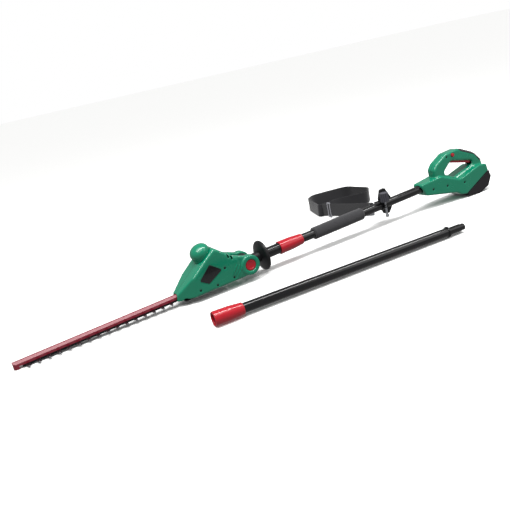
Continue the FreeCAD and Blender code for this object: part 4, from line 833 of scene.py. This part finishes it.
class MakeBlades(bpy.types.Operator):
    """Makes both toothed blades with ground edges"""
    bl_idname = "trimmer.make_blades"
    bl_label = "Blades"

    def execute(self, context):
        sizes = context.scene.trimmer_sizes
        tree = toothed_blade_tree()
        xs = [SPINE_TIP_X]
        for station in BOLT_STATIONS:
            xs += [station - BOLT_SLOT_REACH, station + BOLT_SLOT_REACH]
        xs += [CRANK_X - 20.0, CRANK_X + 20.0, CRANK_X + 24.0]
        ys = [-SPINE_HALF, -BOLT_SLOT_HALF, BOLT_SLOT_HALF, SPINE_HALF]
        holes = [(1 + 2 * i, 1) for i in range(len(BOLT_STATIONS))] + [(len(xs) - 3, 1)]
        for name, low, flip in (("upper_blade", UPPER_BLADE_Z, False), ("lower_blade", LOWER_BLADE_Z, True)):
            spine = mesh_from(name + "_spine",
                              lambda bm: cell_plate(bm, xs, ys, holes, low, low + BLADE_THICK), 20.0)
            made = grow(name + "_toothed", tree, spine, {
                "Tooth": tooth_item(sizes.tooth_bevel * 1000, flip), "Count": sizes.tooth_count,
                "First": (FIRST_TOOTH_X, 0.0, low), "Pitch": (sizes.tooth_pitch * 1000, 0.0, 0.0),
                "Coating": FINISHES["blade_steel"], "Edge": FINISHES["ground_steel"]})
            put(name + "_toothed", made, MACHINE, None, name, [name])
        return {"FINISHED"}


class MakeGrips(bpy.types.Operator):
    """Makes the foam sleeve"""
    bl_idname = "trimmer.make_grips"
    bl_label = "Foam sleeve"

    def execute(self, context):
        bulge = context.scene.trimmer_sizes.foam_bulge * 1000
        front, back, radius, bore = 31.0, 206.0, 18.0, 12.6
        profile = [(front, bore), (front + 0.2, radius - 3.2), (front + 0.9, radius - 1.5),
                   (front + 2.6, radius - 0.3)]
        steps = 24
        for i in range(steps + 1):
            share = i / steps
            x = front + 5.0 + share * (back - front - 10.0)
            ripple = 0.12 * math.sin(share * 31.0)
            profile.append((x, radius - bulge + bulge * math.sin(math.pi * share) + ripple))
        profile += [(back - 2.6, radius - 0.3), (back - 0.9, radius - 1.5), (back - 0.2, radius - 3.2),
                    (back, bore)]
        sleeve = put("foam_sleeve", mesh_from("foam_sleeve", lambda bm: lathe(bm, profile, 72), 50.0),
                     MACHINE, "foam", "rear_unit", ["foam_grip"])
        return {"FINISHED"}


class MakeScrews(bpy.types.Operator):
    """Makes the case screws of the head and the rear housing"""
    bl_idname = "trimmer.make_screws"
    bl_label = "Case screws"

    def execute(self, context):
        radius = context.scene.trimmer_sizes.screw_radius
        tree = copies_at_points_tree()
        for node, body in (("head_screws", "head"), ("rear_screws", "rear_unit")):
            places = []
            for low, high in islands(node):
                places.append(((low.x + high.x) / 2, low.y, (low.z + high.z) / 2))
            carrier = points_mesh(node + "_points", places, [(0, 0, 0)] * len(places))
            # The screws take the near-black finish that paints the shade of their pockets.
            made = grow(node + "_lobed", tree, carrier, {
                "Item": screw_item(1.0), "Size": radius, "Finish": FINISHES["pocket_shade_screw_steel"]})
            put(node + "_lobed", made, Matrix.Identity(4), None, body, [node])
        return {"FINISHED"}


class MakeTiltButton(bpy.types.Operator):
    """Makes the domed tilt button and the far cover of the joint"""
    bl_idname = "trimmer.make_tilt_button"
    bl_label = "Tilt button and cover"

    def execute(self, context):
        face = -HEAD_HALF
        dome = [(face + 1.2, 0.0), (face + 1.15, 5.0), (face + 0.8, 8.6), (face + 0.7, 9.4), (face, 10.2),
                (face, 13.0), (face + 0.5, 14.4), (face + 1.6, 15.0), (face + 3.2, 15.0), (face + 5.0, 13.0),
                (face + 5.0, 0.0)]
        turn = Matrix.Rotation(math.radians(90.0), 4, "Z")     # X of the lathe becomes Y
        at_pivot = MACHINE @ Matrix.Translation((PIVOT_X, 0.0, 0.0)) @ turn
        put("tilt_button_dome", mesh_from("tilt_button_dome", lambda bm: lathe(bm, dome, 64), 30.0),
            at_pivot, "red_abs", "lock_button", ["lock_button"])
        back = 41.0
        cover = [(back - 5.0, 0.0), (back - 5.0, 15.0), (back - 1.4, 15.0), (back - 0.4, 14.4), (back, 13.0),
                 (back, 10.0), (back - 0.8, 9.2), (back - 0.8, 0.0)]
        put("joint_cover", mesh_from("joint_cover", lambda bm: lathe(bm, cover, 64), 30.0),
            at_pivot, "green_abs", "head", ["pivot_cap"])
        return {"FINISHED"}


# Floor-axes route of the strap's loop, millimetres, as (x, y, corner radius).
STRAP_ROUTE = [(243.0, 291.0, 14.0), (279.0, 413.0, 40.0), (318.0, 440.0, 40.0), (451.0, 411.0, 40.0),
               (466.0, 298.0, 40.0), (425.0, 255.0, 30.0), (330.0, 291.0, 90.0)]
STRAP_WIDTH = 43.0
CORNER_STEPS = 8
RISER_START = Vector((259.0, 292.0, 0.0))
RISER_END = Vector((267.0, 26.4, 32.0))
SLIDER_SHARE = 0.14             # how far up the climbing run the slider sits
STITCH_SHARES = (0.90, 0.975)   # where along that run the box of stitches begins and ends
STITCH_INSET = 6.0              # from the strap's edges


def rounded_route(corners, step):
    """Points along a closed route with rounded corners, about a step apart."""
    line = []
    count = len(corners)
    for i in range(count):
        before, here, after = (Vector(corners[(i + k) % count][:2]) for k in (-1, 0, 1))
        a, b = (before - here).normalized(), (after - here).normalized()
        half = a.angle(b) / 2
        reach = min(corners[i][2] / math.tan(half), (before - here).length * 0.49,
                    (after - here).length * 0.49)
        start, stop = here + a * reach, here + b * reach
        for k in range(CORNER_STEPS + 1):
            t = k / CORNER_STEPS
            line.append(start * (1 - t) ** 2 + here * 2 * t * (1 - t) + stop * t ** 2)
    dense = []
    for i, point in enumerate(line):
        following = line[(i + 1) % len(line)]
        gap = (following - point).length
        for k in range(max(1, round(gap / step))):
            dense.append(point.lerp(following, k / max(1, round(gap / step))))
    return dense


def band(bm, line, lifts, closed, thickness, sway, phase):
    """A strap on edge along a line of plan points, with its UV in metres along and across."""
    weave = bm.loops.layers.uv.new("weave")
    rows, rim, wave = 6, 0.4, 47.0      # faces up the band, its rounded rim, and the sway's length in mm
    count = len(line)
    loops, lengths, travelled = [], [], 0.0
    for i, point in enumerate(line):
        ahead = line[(i + 1) % count] if closed or i + 1 < count else point
        behind = line[i - 1] if closed or i > 0 else point
        way = (ahead - behind).normalized()
        side = Vector((way.y, -way.x))
        if i:
            travelled += (point - line[i - 1]).length
        lengths.append(travelled)
        lean = sway * math.sin(travelled / wave + phase)
        profile = []
        for k in range(rows + 1):
            height = k / rows
            edge = 0.55 if k in (0, rows) else 1.0
            profile.append((height, 0.5 * thickness * edge))
        outline = profile + [(h, -t) for h, t in reversed(profile)]
        verts = []
        for h, t in outline:
            off = side * (t + lean * (h * h - 0.15))
            z = lifts[i] + rim + h * (STRAP_WIDTH - 2 * rim)
            verts.append(bm.verts.new((point.x + off.x, point.y + off.y, z)))
        loops.append((verts, [h for h, _ in outline]))
    pairs = list(zip(range(count), range(1, count))) + ([(count - 1, 0)] if closed else [])
    total = travelled + (line[0] - line[-1]).length
    for i, j in pairs:
        here, there = loops[i], loops[j]
        n = len(here[0])
        far = total if j == 0 else lengths[j]
        for k in range(n):
            m = (k + 1) % n
            face = bm.faces.new((here[0][k], here[0][m], there[0][m], there[0][k]))
            uvs = ((lengths[i], here[1][k]), (lengths[i], here[1][m]), (far, there[1][m]), (far, there[1][k]))
            for loop, (u, v) in zip(face.loops, uvs):
                loop[weave].uv = (u * 0.001, v * STRAP_WIDTH * 0.001)
    if not closed:
        bm.faces.new(loops[0][0])
        bm.faces.new(loops[-1][0])


class MakeSprings(bpy.types.Operator):
    """Makes the two return springs as copies of the CAD springs, riding on their bodies"""
    bl_idname = "trimmer.make_springs"
    bl_label = "Return springs"

    def execute(self, context):
        for node, body, joint, axis, keep in (
                ("lock_spring", "head", "lock_button_press", Vector((0.0, 1.0, 0.0)), 0.45),
                ("trigger_spring", "rear_unit", "trigger_pull", Vector((0.0, 0.0, 1.0)), 0.55)):
            low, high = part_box(node)
            spring = put(node + "_coil", NODES[node].data.copy(), Matrix.Identity(4), "brushed_steel", body,
                         [node])
            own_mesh(spring)
        return {"FINISHED"}


class MakeStrap(bpy.types.Operator):
    """Makes the woven strap, its stitches and its slider"""
    bl_idname = "trimmer.make_strap"
    bl_label = "Shoulder strap"

    def execute(self, context):
        sizes = context.scene.trimmer_sizes
        thick, sway = sizes.webbing_thickness * 1000, sizes.webbing_sway * 1000
        loop_line = rounded_route(STRAP_ROUTE, 6.0)
        steps = 48
        rise = [RISER_START.lerp(RISER_END, i / steps) for i in range(steps + 1)]

        def draw(bm):
            band(bm, loop_line, [0.0] * len(loop_line), True, thick, sway, 0.6)

        def draw_riser(bm):
            sag = [4.0 * math.sin(math.pi * i / steps) for i in range(steps + 1)]
            heights = [max(0.0, p.z - s * p.z / RISER_END.z) for p, s in zip(rise, sag)]
            band(bm, [Vector((p.x, p.y)) for p in rise], heights, False, thick, sway * 0.5, 2.0)

        loop = put("strap_loop_woven", mesh_from("strap_loop_woven", draw, 60.0), FLOOR, "webbing",
                   "strap", ["strap_webbing"])
        run = put("strap_run_woven", mesh_from("strap_run_woven", draw_riser, 60.0), FLOOR, "webbing",
                  "strap")

        # Slider: a rounded frame with a middle bar round the climbing run.
        way = (RISER_END - RISER_START).normalized()
        flat_way = Vector((way.x, way.y, 0.0)).normalized()
        off = Vector((flat_way.y, -flat_way.x, 0.0))
        centre = RISER_START + (RISER_END - RISER_START) * SLIDER_SHARE + Vector((0.0, 0.0, STRAP_WIDTH / 2))
        up = flat_way.cross(off) * -1
        axes = Matrix((flat_way, off, up if up.z > 0 else -up)).transposed().to_4x4()
        half_high = STRAP_WIDTH / 2 + 3.4

        def draw_slider(bm):
            for x in (-6.2, 6.2):
                soft_block(bm, (x - 1.7, -2.6, -half_high), (x + 1.7, 2.6, half_high), 1.0, 3)
            for z in (-half_high + 1.5, half_high - 1.5):
                soft_block(bm, (-7.9, -2.6, z - 1.5), (7.9, 2.6, z + 1.5), 1.0, 3)
            soft_block(bm, (-1.3, -2.9, -half_high + 1.0), (1.3, -0.95, half_high - 1.0), 0.6, 2)

        slider = mesh_from("slider_buckle", draw_slider, 40.0)
        put("slider_buckle", slider, FLOOR @ Matrix.Translation(centre) @ axes, "buckle_acetal",
            "strap_slider", ["strap_slider"])

        # Box of stitches that closes the run round the hinged end.
        def stitch(bm):
            soft_block(bm, (-1.5, -0.45, -0.35), (1.5, 0.45, 0.35), 0.2, 1)

        tree = stitch_tree()
        side = off * (thick / 2 + 0.25)
        (start, stop), low, high = STITCH_SHARES, STITCH_INSET, STRAP_WIDTH - STITCH_INSET
        for label, sign in (("near", 1.0), ("far", -1.0)):
            box_points = []
            for share, lift in ((start, low), (stop, low), (stop, high), (start, high), (start, low)):
                spot = RISER_START.lerp(RISER_END, share) + side * sign
                box_points.append((spot.x, spot.y, spot.z + lift - 2.0))
            carrier = bpy.data.meshes.new("stitch_path")
            carrier.from_pydata(box_points, [(i, i + 1) for i in range(4)], [])
            made = grow("strap_stitches_" + label, tree, carrier, {
                "Stitch": mesh_from("stitch", stitch, 40.0), "Pitch": sizes.stitch_pitch * 1000,
                "Finish": FINISHES["thread"]})
            put("strap_stitches_" + label, made, FLOOR, None, "strap")
        return {"FINISHED"}


class MakeRibs(bpy.types.Operator):
    """Makes the fins beside the joint and the ribs of the handle's grip"""
    bl_idname = "trimmer.make_ribs"
    bl_label = "Moulded ribs"

    def execute(self, context):
        height = context.scene.trimmer_sizes.rib_height * 1000
        tree = row_tree()
        nothing = bpy.data.meshes.new("empty_carrier")

        def row(name, item, count, start, step, turn, finish, body):
            made = grow(name, tree, nothing.copy(), {
                "Item": item, "Count": count, "Start": start, "Step": step, "Turn": turn,
                "Finish": FINISHES[finish]})
            put(name, made, MACHINE, None, body)

        # Three slanting fins on each side, beside the joint's boss.
        for label, side in (("near", -1.0), ("far", 1.0)):
            turn = (0.0, math.radians(-52.0), 0.0) if side < 0 else (math.pi, math.radians(-52.0), 0.0)
            row("joint_fins_" + label, bar_item(30.0, 2.2, height, 1.0), 3, (-243.0, side * HEAD_HALF, 6.0),
                (7.0, 0.0, -4.5), turn, "green_abs", "head")
        # Ribs across the rubber strip on top of the handle.
        row("handle_ribs", bar_item(2.4, 24.0, height, 1.0), 6, (613.0, 0.0, 76.0), (8.0, 0.0, -3.9),
            (math.radians(-90.0), 0.0, 0.0), "grip_rubber", "rear_unit")
        return {"FINISHED"}


# ---- stage ---------------------------------------------------------------------------------------
class SetStage(bpy.types.Operator):
    """Makes the floor, the soft lights and the camera"""
    bl_idname = "trimmer.set_stage"
    bl_label = "Floor, lights and camera"

    def execute(self, context):
        scene, stage = context.scene, context.scene.trimmer_stage
        scene.view_settings.view_transform = "Standard"
        # Painted board, rolled matt: pale, with a faint unevenness of tone 40 mm across.
        colour = scene.trimmer_colours.floor
        board, tree, shader, where = new_finish("matt_painted_floor", colour, 0.9, {"IOR": 1.2})
        mottled(tree, shader, colour, 0.006, 0.88, 0.92, where, 25.0)
        mesh = bpy.data.meshes.new("floor")
        reach, level = 40.0, -0.0004
        mesh.from_pydata([(x, y, level) for x, y in ((-reach, -reach), (reach, -reach), (reach, reach),
                                                     (-reach, reach))], [], [(0, 1, 2, 3)])
        mesh.materials.append(board)
        floor = linked("floor", mesh)
        # The floor is seen and takes shadows, but its glare does not fall back on the machine.
        floor.visible_glossy = False
        floor.visible_diffuse = False

        world = bpy.data.worlds.new("pale_room")
        world.use_nodes = True
        world.node_tree.nodes.clear()
        seen = add(world.node_tree, "ShaderNodeLightPath", {}, {}).outputs["Is Camera Ray"]
        # The camera sees a white room; the light it sheds on the machine is softer.
        strength = add(world.node_tree, "ShaderNodeMapRange", {}, {"Value": seen, "To Min": stage.room_light,
                                                                   "To Max": 1.0}).outputs["Result"]
        sky = add(world.node_tree, "ShaderNodeBackground", {}, {"Color": (1.0, 1.0, 1.0, 1.0),
                                                               "Strength": strength})
        add(world.node_tree, "ShaderNodeOutputWorld", {}, {"Surface": sky.outputs["Background"]})
        scene.world = world

        neck = MACHINE @ NECK
        azimuth, elevation, roll = stage.azimuth, stage.elevation, stage.roll
        back = Vector((math.sin(azimuth) * math.cos(elevation), -math.cos(azimuth) * math.cos(elevation),
                       math.sin(elevation)))
        side = Vector((math.cos(azimuth), math.sin(azimuth), 0.0))
        right = side * math.cos(roll) + back.cross(side) * math.sin(roll)
        data = bpy.data.cameras.new("camera")
        data.lens, data.sensor_width = stage.lens, 36.0
        camera = linked("camera", data)
        camera.matrix_world = Matrix.Translation(neck + back * stage.distance) @ Matrix(
            (right, back.cross(right), back)).transposed().to_4x4()
        scene.camera = camera

        day = bpy.data.lights.new("day_light", "SUN")
        day.energy, day.angle = stage.day_power, stage.day_spread
        above = linked("day_light", day)
        above.matrix_world = Vector((-0.25, -0.35, 1.0)).to_track_quat("Z", "Y").to_matrix().to_4x4()

        middle = (Vector(CAD_BOX[0]) + Vector(CAD_BOX[1])) / 2
        for name, offset, wide, deep, power in (
                ("key_light", Vector((0.0, -0.5, 1.8)), 3.4, 0.16, stage.key_power),
                ("fill_light", Vector((1.2, -1.3, 1.1)), 1.2, 1.2, stage.fill_power)):
            lamp = bpy.data.lights.new(name, "AREA")
            lamp.shape, lamp.size, lamp.size_y, lamp.energy = "RECTANGLE", wide, deep, power
            aim = (-offset).to_track_quat("-Z", "Y").to_matrix().to_4x4()
            linked(name, lamp).matrix_world = Matrix.Translation(middle + offset) @ aim
        return {"FINISHED"}


class TrimmerPanel(bpy.types.Panel):
    """Sizes, colours and the steps of the trimmer's looks"""
    bl_idname = "VIEW3D_PT_trimmer"
    bl_label = "Trimmer"
    bl_space_type = "VIEW_3D"
    bl_region_type = "UI"
    bl_category = "Trimmer"

    def draw(self, context):
        scene = context.scene
        for group in (scene.trimmer_colours, scene.trimmer_sizes, scene.trimmer_stage):
            box = self.layout.box()
            for name in group.__annotations__:
                box.prop(group, name)
        for step in STEPS:
            self.layout.operator(step.bl_idname)


STEPS = (PaintFrame, SetStage, MakeShells, MakeBlades, MakeGrips, MakeScrews, MakeTiltButton, MakeSprings,
         MakeStrap, MakeRibs)
GROUPS = (("trimmer_colours", TrimmerColours), ("trimmer_sizes", TrimmerSizes),
          ("trimmer_stage", TrimmerStage))


def register():
    """Adds the classes and the scene's settings."""
    for name, group in GROUPS:
        bpy.utils.register_class(group)
        setattr(bpy.types.Scene, name, PointerProperty(type=group))
    for step in STEPS:
        bpy.utils.register_class(step)
    bpy.utils.register_class(TrimmerPanel)


def unregister():
    """Takes away what register() added."""
    bpy.utils.unregister_class(TrimmerPanel)
    for step in reversed(STEPS):
        bpy.utils.unregister_class(step)
    for name, group in reversed(GROUPS):
        delattr(bpy.types.Scene, name)
        bpy.utils.unregister_class(group)


def main():
    """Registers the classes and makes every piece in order."""
    register()
    bpy.ops.trimmer.paint_frame()
    bpy.ops.trimmer.set_stage()
    bpy.ops.trimmer.make_shells()
    bpy.ops.trimmer.make_blades()
    bpy.ops.trimmer.make_grips()
    bpy.ops.trimmer.make_screws()
    bpy.ops.trimmer.make_tilt_button()
    bpy.ops.trimmer.make_springs()
    bpy.ops.trimmer.make_strap()
    bpy.ops.trimmer.make_ribs()


if __name__ == "__main__":
    main()
